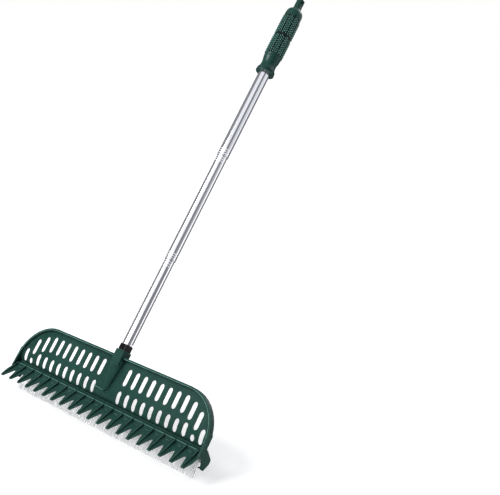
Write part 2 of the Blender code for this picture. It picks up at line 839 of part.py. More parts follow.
def build_ferrule_screw():
    """Pan-head screw in the collar's flat face on the brush side."""
    face = socket_offset + collar_width / 2 + seat_gap
    height = socket_top + seat_gap + collar_height / 2
    profile = [(0, screw_head_height), (screw_head_radius * 0.6, screw_head_height),
               (screw_head_radius, screw_head_height * 0.4), (screw_head_radius, 0),
               (screw_stem_radius, 0), (screw_stem_radius, -screw_stem_length + seat_gap),
               (0, -screw_stem_length + seat_gap)]
    screw = turned("ferrule_screw", profile, (0, face, height), steps=fine_steps)
    screw.rotation_euler = (math.radians(-90), 0, 0)
    settle(screw)
    recess = box("recess", (0.0022, 0.0014, 0.0022), (0, face + screw_head_height, height))
    combine(screw, recess, "DIFFERENCE")
    screw.name = "ferrule_screw"
    return finish(screw, screw_steel)


def groove_points(radius, start, direction):
    """Rolled grooves near one end of a tube, as profile points."""
    points = []
    for number in range(groove_count):
        middle = start + direction * (groove_first + number * groove_pitch)
        points += [(radius, middle - direction * groove_width / 2),
                   (radius - groove_depth, middle),
                   (radius, middle + direction * groove_width / 2)]
    return points


def build_tube(name, radius, foot, top, grooves_below, grooves_above):
    """One handle section: a drawn tube with rounded ends and rolled grooves at its joints."""
    length = top - foot
    bore = radius - tube_wall
    soft = tube_end_soft
    outer = [(radius - soft, length), (radius, length - soft)]
    if grooves_above:
        outer += groove_points(radius, length, -1)
    if grooves_below:
        outer += groove_points(radius, 0, 1)[::-1]
    outer += [(radius, soft), (radius - soft, 0)]
    profile = outer + [(bore, 0), (bore, length)]
    tube = turned(name, profile, handle_place(foot), closed=True)
    return finish(tube, satin_tube, 25)


def build_socket_insert(name, radius, top):
    """Plug with a threaded bore, fixed in the top of a tube of this radius."""
    outer = radius - tube_wall - seat_gap
    bore = stud_radius + running_gap
    depth = stud_length + 0.0015
    profile = [(bore, 0), (outer, 0), (outer, -insert_length), (0, -insert_length),
               (0, -depth), (bore, -depth)]
    insert = turned(name, profile, handle_place(top), closed=True, steps=round_steps)
    return finish(insert, insert_plastic)


def build_stud_insert(name, radius, foot):
    """Plug fixed in the foot of a tube, with the threaded stud that joins it to the next."""
    outer = radius - tube_wall - seat_gap
    profile = [(0, insert_length * 0.8), (outer, insert_length * 0.8), (outer, 0),
               (stud_radius, 0), (stud_radius, 0.001 - stud_length),
               (stud_radius - 0.001, -stud_length), (0, -stud_length)]
    insert = turned(name, profile, handle_place(foot), steps=round_steps)
    return finish(insert, insert_plastic)


def grip_profile():
    """Outer side of the grip, top to bottom: dome, body, waist and a flange with two lips."""
    top = grip_length
    opening = plug_neck_radius + running_gap
    shoulder_radius = 0.0085
    crown = top - grip_dome * 0.35
    shoulder = arc((grip_radius - shoulder_radius, 0), shoulder_radius, math.pi / 2, 0, 5)
    lift = (grip_dome * 0.65) / shoulder_radius
    points = [(opening, top)]
    points += [(radius, crown - grip_dome * 0.65 + height * lift) for radius, height in shoulder]
    points += [(grip_radius, grip_neck_end + 0.002), (grip_radius * 0.985, grip_neck_end)]
    swell = grip_radius * 0.985 - grip_waist_radius
    for share in (0.25, 0.5, 0.75, 1.0):
        ease = 0.5 + 0.5 * math.cos(math.pi * share)
        points.append((grip_waist_radius + swell * ease, grip_neck_end - 0.020 * share))
    lip = grip_flange_radius
    points += [(grip_waist_radius * 1.03, 0.0165), (grip_waist_radius * 1.10, 0.0120),
               (lip - 0.0022, 0.0088), (lip - 0.0006, 0.0080), (lip - 0.0006, 0.0058),
               (lip - 0.0020, 0.0046), (lip - 0.0012, 0.0036), (lip, 0.0030), (lip, 0.0008),
               (lip - 0.0010, 0)]
    return points


def build_grip():
    """Moulded grip over the end of the top tube, with long flutes."""
    sleeve = upper_tube_radius + running_gap
    opening = plug_neck_radius + running_gap
    ceiling = tube_in_grip + seat_gap + plug_disc + seat_gap
    profile = grip_profile() + [(sleeve, 0), (sleeve, ceiling), (opening, ceiling)]
    grip = settle(turned("grip", profile, handle_place(grip_foot), closed=True, steps=36))
    flutes = []
    start = grip_foot + grip_neck_end + 0.004
    end = grip_foot + grip_length - grip_dome - 0.006
    for number in range(grip_groove_count):
        angle = 2 * math.pi * (number + 0.5) / grip_groove_count
        reach = grip_radius + 0.002
        flute = box("flute", (grip_groove_width, 0.004 + 2 * grip_groove_depth, end - start),
                    (0, reach, (start + end) / 2))
        flute.data.transform(Matrix.Translation((0, socket_offset, 0))
                             @ Matrix.Rotation(angle, 4, "Z"))
        flutes.append(flute)
    combine(grip, join_solids("flutes", flutes), "DIFFERENCE")
    centre_on_axis(grip, grip_foot)
    grip.name = "grip"
    return finish(grip, grip_rubber, 35)


def build_end_plug():
    """Plug in the top tube with a neck through the grip and a tab to hang the rake by."""
    seat = grip_foot + tube_in_grip + seat_gap
    stem = upper_tube_radius - tube_wall - seat_gap
    neck_top = grip_foot + grip_length - seat + 0.002
    profile = [(0, neck_top), (plug_neck_radius, neck_top), (plug_neck_radius, plug_disc),
               (upper_tube_radius - 0.0002, plug_disc), (upper_tube_radius - 0.0002, 0), (stem, 0),
               (stem, -plug_stem), (0, -plug_stem)]
    plug = settle(turned("end_plug", profile, handle_place(seat)))
    middle = seat + neck_top + tab_size[2] / 2 - 0.001
    tab = box("tab", tab_size, (0, socket_offset, middle))
    bevel = tab.modifiers.new("soft_edges", "BEVEL")
    bevel.width = 0.0022
    bevel.segments = 2
    combine(plug, settle(tab), "UNION")
    mesh = bpy.data.meshes.new("hang_hole")
    work = bmesh.new()
    bmesh.ops.create_cone(work, cap_ends=True, segments=16, radius1=tab_hole_radius,
                          radius2=tab_hole_radius, depth=tab_size[0] * 3)
    work.to_mesh(mesh)
    work.free()
    turn = Matrix.Rotation(math.radians(90), 4, "Y")
    mesh.transform(Matrix.Translation((0, socket_offset, middle + tab_size[2] * 0.12)) @ turn)
    combine(plug, add_object("hang_hole", mesh), "DIFFERENCE")
    centre_on_axis(plug, seat)
    plug.name = "end_plug"
    return finish(plug, green_plastic, 35)


def build_handle():
    """Three tube sections with their inserts, the ferrule below and the grip above."""
    half_gap = seat_gap / 2
    lower_top = lower_joint - half_gap
    middle_foot = lower_joint + half_gap
    middle_top = upper_joint - half_gap
    upper_foot = upper_joint + half_gap
    build_ferrule()
    build_ferrule_screw()
    build_tube("tube_lower", lower_tube_radius, tube_foot, lower_top, False, True)
    build_socket_insert("lower_socket_insert", lower_tube_radius, lower_top)
    build_stud_insert("middle_stud_insert", middle_tube_radius, middle_foot)
    build_tube("tube_middle", middle_tube_radius, middle_foot, middle_top, True, True)
    build_socket_insert("middle_socket_insert", middle_tube_radius, middle_top)
    build_stud_insert("upper_stud_insert", upper_tube_radius, upper_foot)
    build_tube("tube_upper", upper_tube_radius, upper_foot, grip_foot + tube_in_grip, True, False)
    build_grip()
    build_end_plug()


def stand_up():
    """Lean the rake back, set it on its bristle tips and centre it over the origin."""
    stance.rotation_euler = (-lean_back, 0, 0)
    bpy.context.view_layer.update()
    depsgraph = bpy.context.evaluated_depsgraph_get()
    low = Vector((math.inf,) * 3)
    high = Vector((-math.inf,) * 3)
    for obj in parts_collection.objects:
        if obj.type != "MESH":
            continue
        mesh = obj.evaluated_get(depsgraph).data
        for vertex in mesh.vertices:
            place = obj.matrix_world @ vertex.co
            low = Vector(map(min, low, place))
            high = Vector(map(max, high, place))
    stance.location = (-(low.x + high.x) / 2, -(low.y + high.y) / 2, -low.z)
    bpy.context.view_layer.update()


build_head()
build_label_plate()
build_strip()
for clip_number, clip_x in enumerate(clip_places(), start=1):
    build_clip(clip_number, clip_x)
build_handle()
stand_up()
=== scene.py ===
# %% [markdown]
# # A turf rake, dressed for its portrait
# The rake is a wide green moulding: a slotted plate with a comb of flat tines on one side and
# a brush strip on the other. A tube handle in three sections ends in a fluted grip.
# The engineering model gives every solid at its real size. This script loads it, adds what a
# solid can't show well, such as single nylon bristles and the studs of the grip, and gives
# each surface a material of its own.
# All of it could be modelled here from nothing, but then two models would have to agree. With
# the solids loaded, each size has one home, and a copy of a solid is a good start for a
# finer piece.

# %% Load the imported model
import json
import math
import random

import bmesh
import bpy
from mathutils import Matrix, Vector


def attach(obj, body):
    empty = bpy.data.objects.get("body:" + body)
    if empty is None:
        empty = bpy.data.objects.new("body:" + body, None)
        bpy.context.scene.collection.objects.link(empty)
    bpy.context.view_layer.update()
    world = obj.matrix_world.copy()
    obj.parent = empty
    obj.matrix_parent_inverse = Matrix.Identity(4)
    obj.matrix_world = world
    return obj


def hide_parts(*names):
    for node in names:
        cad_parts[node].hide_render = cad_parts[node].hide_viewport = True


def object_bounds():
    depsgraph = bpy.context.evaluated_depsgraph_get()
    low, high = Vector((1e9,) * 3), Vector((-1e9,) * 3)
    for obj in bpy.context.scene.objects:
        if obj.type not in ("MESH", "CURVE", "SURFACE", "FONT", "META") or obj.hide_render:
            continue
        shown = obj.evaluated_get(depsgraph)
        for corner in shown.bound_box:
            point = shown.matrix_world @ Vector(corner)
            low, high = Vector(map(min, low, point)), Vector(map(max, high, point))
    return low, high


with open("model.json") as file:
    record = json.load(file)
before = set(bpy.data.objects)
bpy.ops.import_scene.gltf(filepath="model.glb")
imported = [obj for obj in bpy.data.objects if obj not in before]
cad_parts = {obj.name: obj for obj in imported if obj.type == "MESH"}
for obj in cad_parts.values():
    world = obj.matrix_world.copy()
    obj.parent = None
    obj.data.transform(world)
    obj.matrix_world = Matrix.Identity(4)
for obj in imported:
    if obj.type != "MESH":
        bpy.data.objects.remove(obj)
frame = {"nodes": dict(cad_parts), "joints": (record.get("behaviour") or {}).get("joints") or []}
nodes = frame["nodes"]
cad_low, cad_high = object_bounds()
print("pieces in the model:", len(nodes))

# %% [markdown]
# ## The rake's own frame
# The rake leans, so places on it are easier to say in its own frame: X along the head, Y out
# to the brush side, Z up the handle, with the middle of the plate's foot at the origin.
# The lean could be typed in as an angle. The joint between the socket and the ferrule lies on
# the handle's axis at a known height, so the frame is worked out from that joint instead, and
# still holds if the model is moved.

# %% The leaning frame
SOCKET_TOP = 0.1095
SOCKET_OFFSET = -0.0028
joint = next(j for j in frame["joints"] if j["name"] == "socket_lift")
up = Vector(joint["axis"]).normalized()
across = Vector((1, 0, 0))
brushward = up.cross(across)
origin = Vector(joint["pos_m"]) - up * SOCKET_TOP - brushward * SOCKET_OFFSET
stance = Matrix.Translation(origin) @ Matrix((across, brushward, up)).transposed().to_4x4()
lean = math.atan2(up.y, up.z)
print("lean of the handle in degrees:", round(math.degrees(lean), 2))

# %% [markdown]
# ## The camera
# A camera can be placed by eye, but then the slots and the tines drift apart from the picture
# that is being matched. Here the slot ends and the tine tips were measured on the photograph,
# and one camera was found that puts them all in their places. Its position is given from the
# foot of the plate. Azimuth and elevation turn it, and a small roll tilts the picture.

# %% Camera
CAMERA_FROM_FOOT = Vector((1.07398, -0.92603, 0.67207))
CAMERA_AZIMUTH = math.radians(38.2526)
CAMERA_ELEVATION = math.radians(13.7595)
CAMERA_ROLL = math.radians(4.1299)
CAMERA_LENS = 56.16
CAMERA_SENSOR = 36
forward = Vector((-math.sin(CAMERA_AZIMUTH) * math.cos(CAMERA_ELEVATION),
                  math.cos(CAMERA_AZIMUTH) * math.cos(CAMERA_ELEVATION),
                  -math.sin(CAMERA_ELEVATION)))
level = Vector((math.cos(CAMERA_AZIMUTH), math.sin(CAMERA_AZIMUTH), 0))
raised = level.cross(forward)
camera_right = level * math.cos(CAMERA_ROLL) + raised * math.sin(CAMERA_ROLL)
camera_up = raised * math.cos(CAMERA_ROLL) - level * math.sin(CAMERA_ROLL)
camera_data = bpy.data.cameras.new("camera")
camera_data.lens = CAMERA_LENS
camera_data.sensor_width = CAMERA_SENSOR
camera = bpy.data.objects.new("camera", camera_data)
bpy.context.scene.collection.objects.link(camera)
camera_turn = Matrix((camera_right, camera_up, -forward)).transposed().to_4x4()
camera.matrix_world = Matrix.Translation(origin + CAMERA_FROM_FOOT) @ camera_turn
bpy.context.scene.camera = camera
print("camera stands at", [round(v, 3) for v in camera.location])


# %% [markdown]
# ## Small steps between nodes
# A material is a chain of small sums. The nodes could be placed one by one in the editor, but
# a script that spells out every link is hard to read. So the two steps that come up most have
# a function each: one does arithmetic, and one stretches a range of values to another range.

# %% Arithmetic between nodes
def calculate(tree, operation, first, second):
    """One arithmetic step; each side is a socket or a number."""
    node = tree.nodes.new("ShaderNodeMath")
    node.operation = operation
    for index, value in enumerate((first, second)):
        if isinstance(value, (int, float)):
            node.inputs[index].default_value = value
        else:
            tree.links.new(value, node.inputs[index])
    return node.outputs[0]


def remap(tree, value, low, high, to_low=0.0, to_high=1.0):
    """Stretch a range of values to another one, clamped."""
    node = tree.nodes.new("ShaderNodeMapRange")
    node.inputs["From Min"].default_value = low
    node.inputs["From Max"].default_value = high
    node.inputs["To Min"].default_value = to_low
    node.inputs["To Max"].default_value = to_high
    tree.links.new(value, node.inputs["Value"])
    return node.outputs["Result"]


# %% [markdown]
# ## The studio
# A catalogue picture has a white sweep and soft light from all round. Turning the lamps up
# until everything is white would also bleach the rake. So the sky is three backgrounds: a dim
# one that lights the rake, a white one that the camera sees, and a banded one for reflections.
# Colours then come out about as they are written.

# %% Sky
SKY_LIGHT = 0.27
world = bpy.data.worlds.new("studio_sky")
bpy.context.scene.world = world
world.use_nodes = True
sky = world.node_tree
sky.nodes.clear()
sky_light = sky.nodes.new("ShaderNodeBackground")
sky_light.inputs["Color"].default_value = (0.95, 0.97, 1.0, 1)
sky_light.inputs["Strength"].default_value = SKY_LIGHT
sky_seen = sky.nodes.new("ShaderNodeBackground")
sky_seen.inputs["Color"].default_value = (1, 1, 1, 1)
sky_mirrored = sky.nodes.new("ShaderNodeBackground")
bpy.context.scene.view_settings.view_transform = "Standard"
print("the sky lights the rake at", SKY_LIGHT)

# %% [markdown]
# A polished tube shows what stands round it as bands along its length. In the photograph they
# run dark, light, grey, light and dark. Cards could stand in the room for all of them, but a
# band in the sky is the same from every place on the tube. The direction round the room, as a
# share of a full turn, picks the tone from a colour ramp.

# %% Tones of the mirrored sky
SKY_TONES = [(0.000, 0.26), (0.090, 0.30), (0.140, 0.70), (0.200, 0.95), (0.370, 1.00),
             (0.395, 0.50), (0.420, 0.24), (0.510, 0.24), (0.545, 1.00), (0.880, 0.85),
             (0.900, 0.26), (1.000, 0.26)]
SKY_TINT = (0.98, 0.99, 1.03)
sky_way = sky.nodes.new("ShaderNodeTexCoord")
sky_parts = sky.nodes.new("ShaderNodeSeparateXYZ")
sky.links.new(sky_way.outputs["Generated"], sky_parts.inputs[0])
sky_turn = calculate(sky, "ARCTAN2", sky_parts.outputs["Y"], sky_parts.outputs["X"])
sky_share = remap(sky, sky_turn, -math.pi, math.pi)
sky_bands = sky.nodes.new("ShaderNodeValToRGB")
sky.links.new(sky_share, sky_bands.inputs["Fac"])
band = sky_bands.color_ramp.elements
while len(band) < len(SKY_TONES):
    band.new(0.5)
for stop, (place, tone) in zip(band, SKY_TONES):
    stop.position = place
    stop.color = (*(tone * tint for tint in SKY_TINT), 1)
sky.links.new(sky_bands.outputs["Color"], sky_mirrored.inputs["Color"])
print("sky tones round the room:", len(SKY_TONES))

# %% [markdown]
# The Light Path node tells what kind of ray asks for the sky. A chain of mix nodes answers it:
# the bands for a reflection, and plain white for the camera and for a ray through nylon.

# %% One sky for each kind of ray
sky_path = sky.nodes.new("ShaderNodeLightPath")


def sky_switch(ray, otherwise, chosen):
    """Use one background for a kind of ray and the other for the rest."""
    mix = sky.nodes.new("ShaderNodeMixShader")
    sky.links.new(sky_path.outputs[ray], mix.inputs["Fac"])
    sky.links.new(otherwise, mix.inputs[1])
    sky.links.new(chosen, mix.inputs[2])
    return mix.outputs[0]


sky_shader = sky_switch("Is Glossy Ray", sky_light.outputs[0], sky_mirrored.outputs[0])
sky_shader = sky_switch("Is Transmission Ray", sky_shader, sky_seen.outputs[0])
sky_shader = sky_switch("Is Camera Ray", sky_shader, sky_seen.outputs[0])
sky_out = sky.nodes.new("ShaderNodeOutputWorld")
sky.links.new(sky_shader, sky_out.inputs["Surface"])
print("nodes in the sky:", len(sky.nodes))

# %% [markdown]
# ## The floor
# The floor is a sheet of white paper that keeps the rake's soft shadow. Plain paper under
# plain light renders grey, and more light would bleach the rake. A material that only glows
# would be white but lose the shadow. So the paper is diffuse and glows a little as well, and
# the glow is there only for the camera, for reflections and for rays through nylon. It grows
# with the distance from the rake, so that the sheet meets the white sky with no horizon.

# %% White paper
PAPER_NEAR, PAPER_FAR = 0.6, 2.2
GLOW_NEAR, GLOW_FAR = 0.42, 0.92
paper = bpy.data.materials.new("white_paper")
paper.use_nodes = True
sheet = paper.node_tree
sheet.nodes.remove(sheet.nodes["Principled BSDF"])
paper_diffuse = sheet.nodes.new("ShaderNodeBsdfDiffuse")
paper_diffuse.inputs["Color"].default_value = (0.90, 0.90, 0.905, 1)
paper_glow = sheet.nodes.new("ShaderNodeEmission")
paper_glow.inputs["Color"].default_value = (1, 1, 1, 1)
paper_place = sheet.nodes.new("ShaderNodeTexCoord")
paper_reach = sheet.nodes.new("ShaderNodeVectorMath")
paper_reach.operation = "LENGTH"
sheet.links.new(paper_place.outputs["Object"], paper_reach.inputs[0])
glow = remap(sheet, paper_reach.outputs["Value"], PAPER_NEAR, PAPER_FAR, GLOW_NEAR, GLOW_FAR)
glow.node.interpolation_type = "SMOOTHSTEP"
ray = sheet.nodes.new("ShaderNodeLightPath").outputs
seen = calculate(sheet, "MAXIMUM", ray["Is Camera Ray"], ray["Is Glossy Ray"])
seen = calculate(sheet, "MAXIMUM", seen, ray["Is Transmission Ray"])
sheet.links.new(calculate(sheet, "MULTIPLY", seen, glow), paper_glow.inputs["Strength"])
paper_sum = sheet.nodes.new("ShaderNodeAddShader")
sheet.links.new(paper_diffuse.outputs[0], paper_sum.inputs[0])
sheet.links.new(paper_glow.outputs[0], paper_sum.inputs[1])
sheet.links.new(paper_sum.outputs[0], sheet.nodes["Material Output"].inputs["Surface"])
print("the paper glows from", GLOW_NEAR, "to", GLOW_FAR)

# %% [markdown]
# The sheet itself is one large square. Curving it up behind the rake, as in a real studio,
# isn't needed, because the sky is as white as the paper.

# %% Floor
FLOOR_REACH = 60
floor_mesh = bpy.data.meshes.new("floor")
floor_work = bmesh.new()
bmesh.ops.create_grid(floor_work, x_segments=1, y_segments=1, size=FLOOR_REACH)
floor_work.to_mesh(floor_mesh)
floor_work.free()
floor = bpy.data.objects.new("floor", floor_mesh)
bpy.context.scene.collection.objects.link(floor)
floor_mesh.materials.append(paper)
print("the floor reaches", FLOOR_REACH, "m each way")


# %% [markdown]
# ## Lamps
# A point lamp would give hard shadows and small hot spots, so every lamp is a square sheet of
# light. A large one stands to the left of the camera and above it, a weak fill stands behind
# the camera, and a strip lamp behind the rake draws a light line on the upper edges. A track
# quaternion turns each one to face the middle of the rake.

# %% Lamps
def add_lamp(name, place, target, size, watts):
    """An area lamp that looks at a point."""
    data = bpy.data.lights.new(name, "AREA")
    data.shape = "RECTANGLE"
    data.size = size[0]
    data.size_y = size[1]
    data.energy = watts
    lamp = bpy.data.objects.new(name, data)
    bpy.context.scene.collection.objects.link(lamp)
    lamp.location = place
    lamp.rotation_mode = "QUATERNION"
    lamp.rotation_quaternion = (Vector(target) - Vector(place)).to_track_quat("-Z", "Y")
    print(name, "lamp:", watts, "watts")


middle = (cad_low + cad_high) / 2
add_lamp("key", place=(-1.0, -1.8, 2.3), target=middle, size=(1.4, 1.4), watts=60)
add_lamp("fill", place=(1.0, -2.3, 1.3), target=middle, size=(1.2, 1.2), watts=6)
add_lamp("rim", place=(0.4, 1.9, 1.7), target=middle, size=(1.6, 0.8), watts=16)

# %% [markdown]
# ## The dark card
# Bright metal on a white sweep would vanish, so a dark card stands beside it. The tube could
# be given a darker colour along one side instead, but that would be wrong from behind. The
# card is switched off for the camera, for soft light, for rays through nylon and for shadows.
# Only reflections find it, and it draws the dark line along the tube's edge.

# %% Dark card
CARD_SIZE = (1.80, 0.86)
CARD_PLACE = (-0.76, 0.20, 0.57)
CARD_COLOUR = (0.17, 0.17, 0.18, 1)
card_work = bmesh.new()
bmesh.ops.create_grid(card_work, x_segments=1, y_segments=1, size=0.5)
bmesh.ops.scale(card_work, verts=card_work.verts, vec=(*CARD_SIZE, 1))
bmesh.ops.rotate(card_work, verts=card_work.verts, matrix=Matrix.Rotation(math.pi / 2, 3, "X"))
bmesh.ops.translate(card_work, verts=card_work.verts, vec=CARD_PLACE)
bmesh.ops.transform(card_work, matrix=stance, verts=card_work.verts)
card_mesh = bpy.data.meshes.new("dark_card")
card_work.to_mesh(card_mesh)
card_work.free()
card = bpy.data.objects.new("dark_card", card_mesh)
bpy.context.scene.collection.objects.link(card)
card_paint = bpy.data.materials.new("card_paint")
card_paint.use_nodes = True
card_shader = card_paint.node_tree.nodes["Principled BSDF"]
card_shader.inputs["Base Color"].default_value = CARD_COLOUR
card_mesh.materials.append(card_paint)
card.visible_camera = False
card.visible_diffuse = False
card.visible_transmission = False
card.visible_shadow = False
print("the card is", CARD_SIZE, "m")


# %% [markdown]
# ## Shared effects
# Five effects turn up on more than one material: the skin of moulded plastic, the lines that
# drawing leaves on metal, settled dust, painted shade in the corners, and round edges with a
# painted highlight. Each could be built again in every material. A node group with named inputs
# is built once, and each material then places it with values of its own.

# %% Node group helpers
def start_group(name, inputs, outputs):
    """A shader node group with named sockets, given as (name, type, value)."""
    group = bpy.data.node_groups.new(name, "ShaderNodeTree")
    for label, kind, value in inputs:
        socket = group.interface.new_socket(label, in_out="INPUT", socket_type=kind)
        if value is not None:
            socket.default_value = value
    for label, kind in outputs:
        group.interface.new_socket(label, in_out="OUTPUT", socket_type=kind)
    print("group", name, "has", len(inputs), "inputs")
    return group, group.nodes.new("NodeGroupInput"), group.nodes.new("NodeGroupOutput")


def noise(tree, vector, scale, detail, roughness):
    """A noise texture read along a vector; its scale is a socket or a number."""
    node = tree.nodes.new("ShaderNodeTexNoise")
    node.inputs["Detail"].default_value = detail
    node.inputs["Roughness"].default_value = roughness
    tree.links.new(vector, node.inputs["Vector"])
    if isinstance(scale, (int, float)):
        node.inputs["Scale"].default_value = scale
    else:
        tree.links.new(scale, node.inputs["Scale"])
    return node.outputs["Fac"]


def stretch(tree, vector, scale):
    """Scale a pattern by a different amount along each axis."""
    node = tree.nodes.new("ShaderNodeMapping")
    node.inputs["Scale"].default_value = scale
    tree.links.new(vector, node.inputs["Vector"])
    return node.outputs["Vector"]


# %% [markdown]
# Colours and plain values are mixed with the same node, but its sockets differ. One function
# for each keeps that out of the way below.

# %% Mixing helpers
def blend_colours(tree, factor, first, second):
    """Mix two colours; each is a socket or a plain colour."""
    node = tree.nodes.new("ShaderNodeMix")
    node.data_type = "RGBA"
    tree.links.new(factor, node.inputs["Factor"])
    for name, colour in (("A", first), ("B", second)):
        socket = next(s for s in node.inputs if s.name == name and s.type == "RGBA")
        if isinstance(colour, tuple):
            socket.default_value = (*colour, 1)
        else:
            tree.links.new(colour, socket)
    return next(s for s in node.outputs if s.type == "RGBA")


def blend_values(tree, factor, first, second):
    """Mix two values, both given as sockets."""
    node = tree.nodes.new("ShaderNodeMix")
    tree.links.new(factor, node.inputs["Factor"])
    tree.links.new(first, node.inputs["A"])
    tree.links.new(second, node.inputs["B"])
    return node.outputs["Result"]


# %% [markdown]
# ### Moulded skin
# Moulded plastic is never one flat green. The melt leaves broad flow marks, the mould leaves a
# fine grain, and use leaves short scratches that lie much the same way. One noise texture
# can't be all of these, because their sizes differ a hundredfold, so there are four. Two large
# ones shade the colour, one stretched thin makes the scratches, and a fine one is the grain.
# The grain goes out as a height for the bump.

# %% Moulded skin
SCRATCH_SHAPE = (55, 900, 260)
skin_group, skin_in, skin_out = start_group(
    "moulded_skin",
    [("Vector", "NodeSocketVector", None), ("Base", "NodeSocketColor", (0.02, 0.08, 0.06, 1)),
     ("Pale", "NodeSocketColor", (0.05, 0.13, 0.1, 1)), ("Grain Scale", "NodeSocketFloat", 900.0),
     ("Smooth", "NodeSocketFloat", 0.3), ("Rough", "NodeSocketFloat", 0.45)],
    [("Color", "NodeSocketColor"), ("Roughness", "NodeSocketFloat"),
     ("Height", "NodeSocketFloat")])
skin_way = skin_in.outputs["Vector"]
flow = noise(skin_group, skin_way, scale=9.0, detail=4.0, roughness=0.6)
cloud = noise(skin_group, skin_way, scale=46.0, detail=5.0, roughness=0.6)
grain = noise(skin_group, skin_way, skin_in.outputs["Grain Scale"], detail=2.0, roughness=0.5)
scratch_way = stretch(skin_group, skin_way, SCRATCH_SHAPE)
scratches = noise(skin_group, scratch_way, scale=1.0, detail=3.0, roughness=0.7)
scratch_mask = remap(skin_group, scratches, low=0.64, high=0.74)
shade = remap(skin_group, calculate(skin_group, "ADD", flow, cloud), low=0.80, high=1.28)
print("nodes for the skin's patterns:", len(skin_group.nodes))

# %% [markdown]
# Flow marks and scratches both pale the colour, and the stronger of the two wins. The same
# masks make the skin rougher there, and a scratch cuts a little into the grain. The shares say
# how far each mask counts.

# %% Moulded skin, put together
FLOW_PALE, SCRATCH_PALE = 0.45, 0.55
FLOW_ROUGH, SCRATCH_ROUGH = 0.6, 0.4
SCRATCH_CUT = 0.35
worn = calculate(skin_group, "MAXIMUM",
                 calculate(skin_group, "MULTIPLY", shade, FLOW_PALE),
                 calculate(skin_group, "MULTIPLY", scratch_mask, SCRATCH_PALE))
skin_colour = blend_colours(skin_group, worn, skin_in.outputs["Base"], skin_in.outputs["Pale"])
rough_share = calculate(skin_group, "ADD",
                        calculate(skin_group, "MULTIPLY", shade, FLOW_ROUGH),
                        calculate(skin_group, "MULTIPLY", scratch_mask, SCRATCH_ROUGH))
skin_rough = blend_values(skin_group, rough_share, skin_in.outputs["Smooth"],
                          skin_in.outputs["Rough"])
skin_height = calculate(skin_group, "SUBTRACT", grain,
                        calculate(skin_group, "MULTIPLY", scratch_mask, SCRATCH_CUT))
skin_group.links.new(skin_colour, skin_out.inputs["Color"])
skin_group.links.new(skin_rough, skin_out.inputs["Roughness"])
skin_group.links.new(skin_height, skin_out.inputs["Height"])
print("nodes in the moulded skin:", len(skin_group.nodes))

# %% [markdown]
# ### Drawn lines
# A tube is drawn through a die, which leaves fine lines along its whole length, and hands
# leave dull patches on it. Anisotropic gloss could stand for the lines, but real lines also
# change the colour a little. So the pattern is a noise squeezed across the tube and stretched
# along it. It sets the colour, the roughness and a very slight bump.

# %% Drawn lines
LINE_SHAPE = (420, 420, 3)
LINE_DULL, STAIN_DULL = 0.35, 0.5
drawn_group, drawn_in, drawn_out = start_group(
    "drawn_lines",
    [("Vector", "NodeSocketVector", None), ("Bright", "NodeSocketColor", (0.8, 0.81, 0.84, 1)),
     ("Dull", "NodeSocketColor", (0.6, 0.61, 0.64, 1)), ("Smooth", "NodeSocketFloat", 0.2),
     ("Rough", "NodeSocketFloat", 0.36)],
    [("Color", "NodeSocketColor"), ("Roughness", "NodeSocketFloat"),
     ("Height", "NodeSocketFloat")])
line_way = stretch(drawn_group, drawn_in.outputs["Vector"], LINE_SHAPE)
lines = noise(drawn_group, line_way, scale=1.0, detail=4.0, roughness=0.65)
stain = noise(drawn_group, drawn_in.outputs["Vector"], scale=17.0, detail=5.0, roughness=0.62)
line_mask = remap(drawn_group, lines, low=0.34, high=0.70)
stain_mask = remap(drawn_group, stain, low=0.42, high=0.72)
dulled = calculate(drawn_group, "ADD",
                   calculate(drawn_group, "MULTIPLY", line_mask, LINE_DULL),
                   calculate(drawn_group, "MULTIPLY", stain_mask, STAIN_DULL))
drawn_colour = blend_colours(drawn_group, dulled, drawn_in.outputs["Bright"],
                             drawn_in.outputs["Dull"])
drawn_rough = blend_values(drawn_group, dulled, drawn_in.outputs["Smooth"],
                           drawn_in.outputs["Rough"])
drawn_group.links.new(drawn_colour, drawn_out.inputs["Color"])
drawn_group.links.new(drawn_rough, drawn_out.inputs["Roughness"])
drawn_group.links.new(lines, drawn_out.inputs["Height"])
print("nodes in the drawn lines:", len(drawn_group.nodes))

# %% [markdown]
# ### Settled dust
# A little dust lies on whatever faces up. It could be painted where it falls, but the normal
# already says which way a surface faces. Its Z part, times a patchy noise, is the mask.

# %% Settled dust
dust_group, dust_in, dust_out = start_group(
    "settled_dust",
    [("Vector", "NodeSocketVector", None), ("Color", "NodeSocketColor", (0.5, 0.5, 0.5, 1)),
     ("Dust", "NodeSocketColor", (0.42, 0.42, 0.38, 1)), ("Amount", "NodeSocketFloat", 0.12)],
    [("Color", "NodeSocketColor"), ("Mask", "NodeSocketFloat")])
facing = dust_group.nodes.new("ShaderNodeNewGeometry")
facing_parts = dust_group.nodes.new("ShaderNodeSeparateXYZ")
dust_group.links.new(facing.outputs["Normal"], facing_parts.inputs[0])
upward = remap(dust_group, facing_parts.outputs["Z"], low=0.25, high=0.95)
patchy = noise(dust_group, dust_in.outputs["Vector"], scale=38.0, detail=6.0, roughness=0.7)
patches = remap(dust_group, patchy, low=0.4, high=0.7)
dust_mask = calculate(dust_group, "MULTIPLY",
                      calculate(dust_group, "MULTIPLY", upward, patches),
                      dust_in.outputs["Amount"])
dusty = blend_colours(dust_group, dust_mask, dust_in.outputs["Color"], dust_in.outputs["Dust"])
dust_group.links.new(dusty, dust_out.inputs["Color"])
dust_group.links.new(dust_mask, dust_out.inputs["Mask"])
print("nodes in the dust:", len(dust_group.nodes))
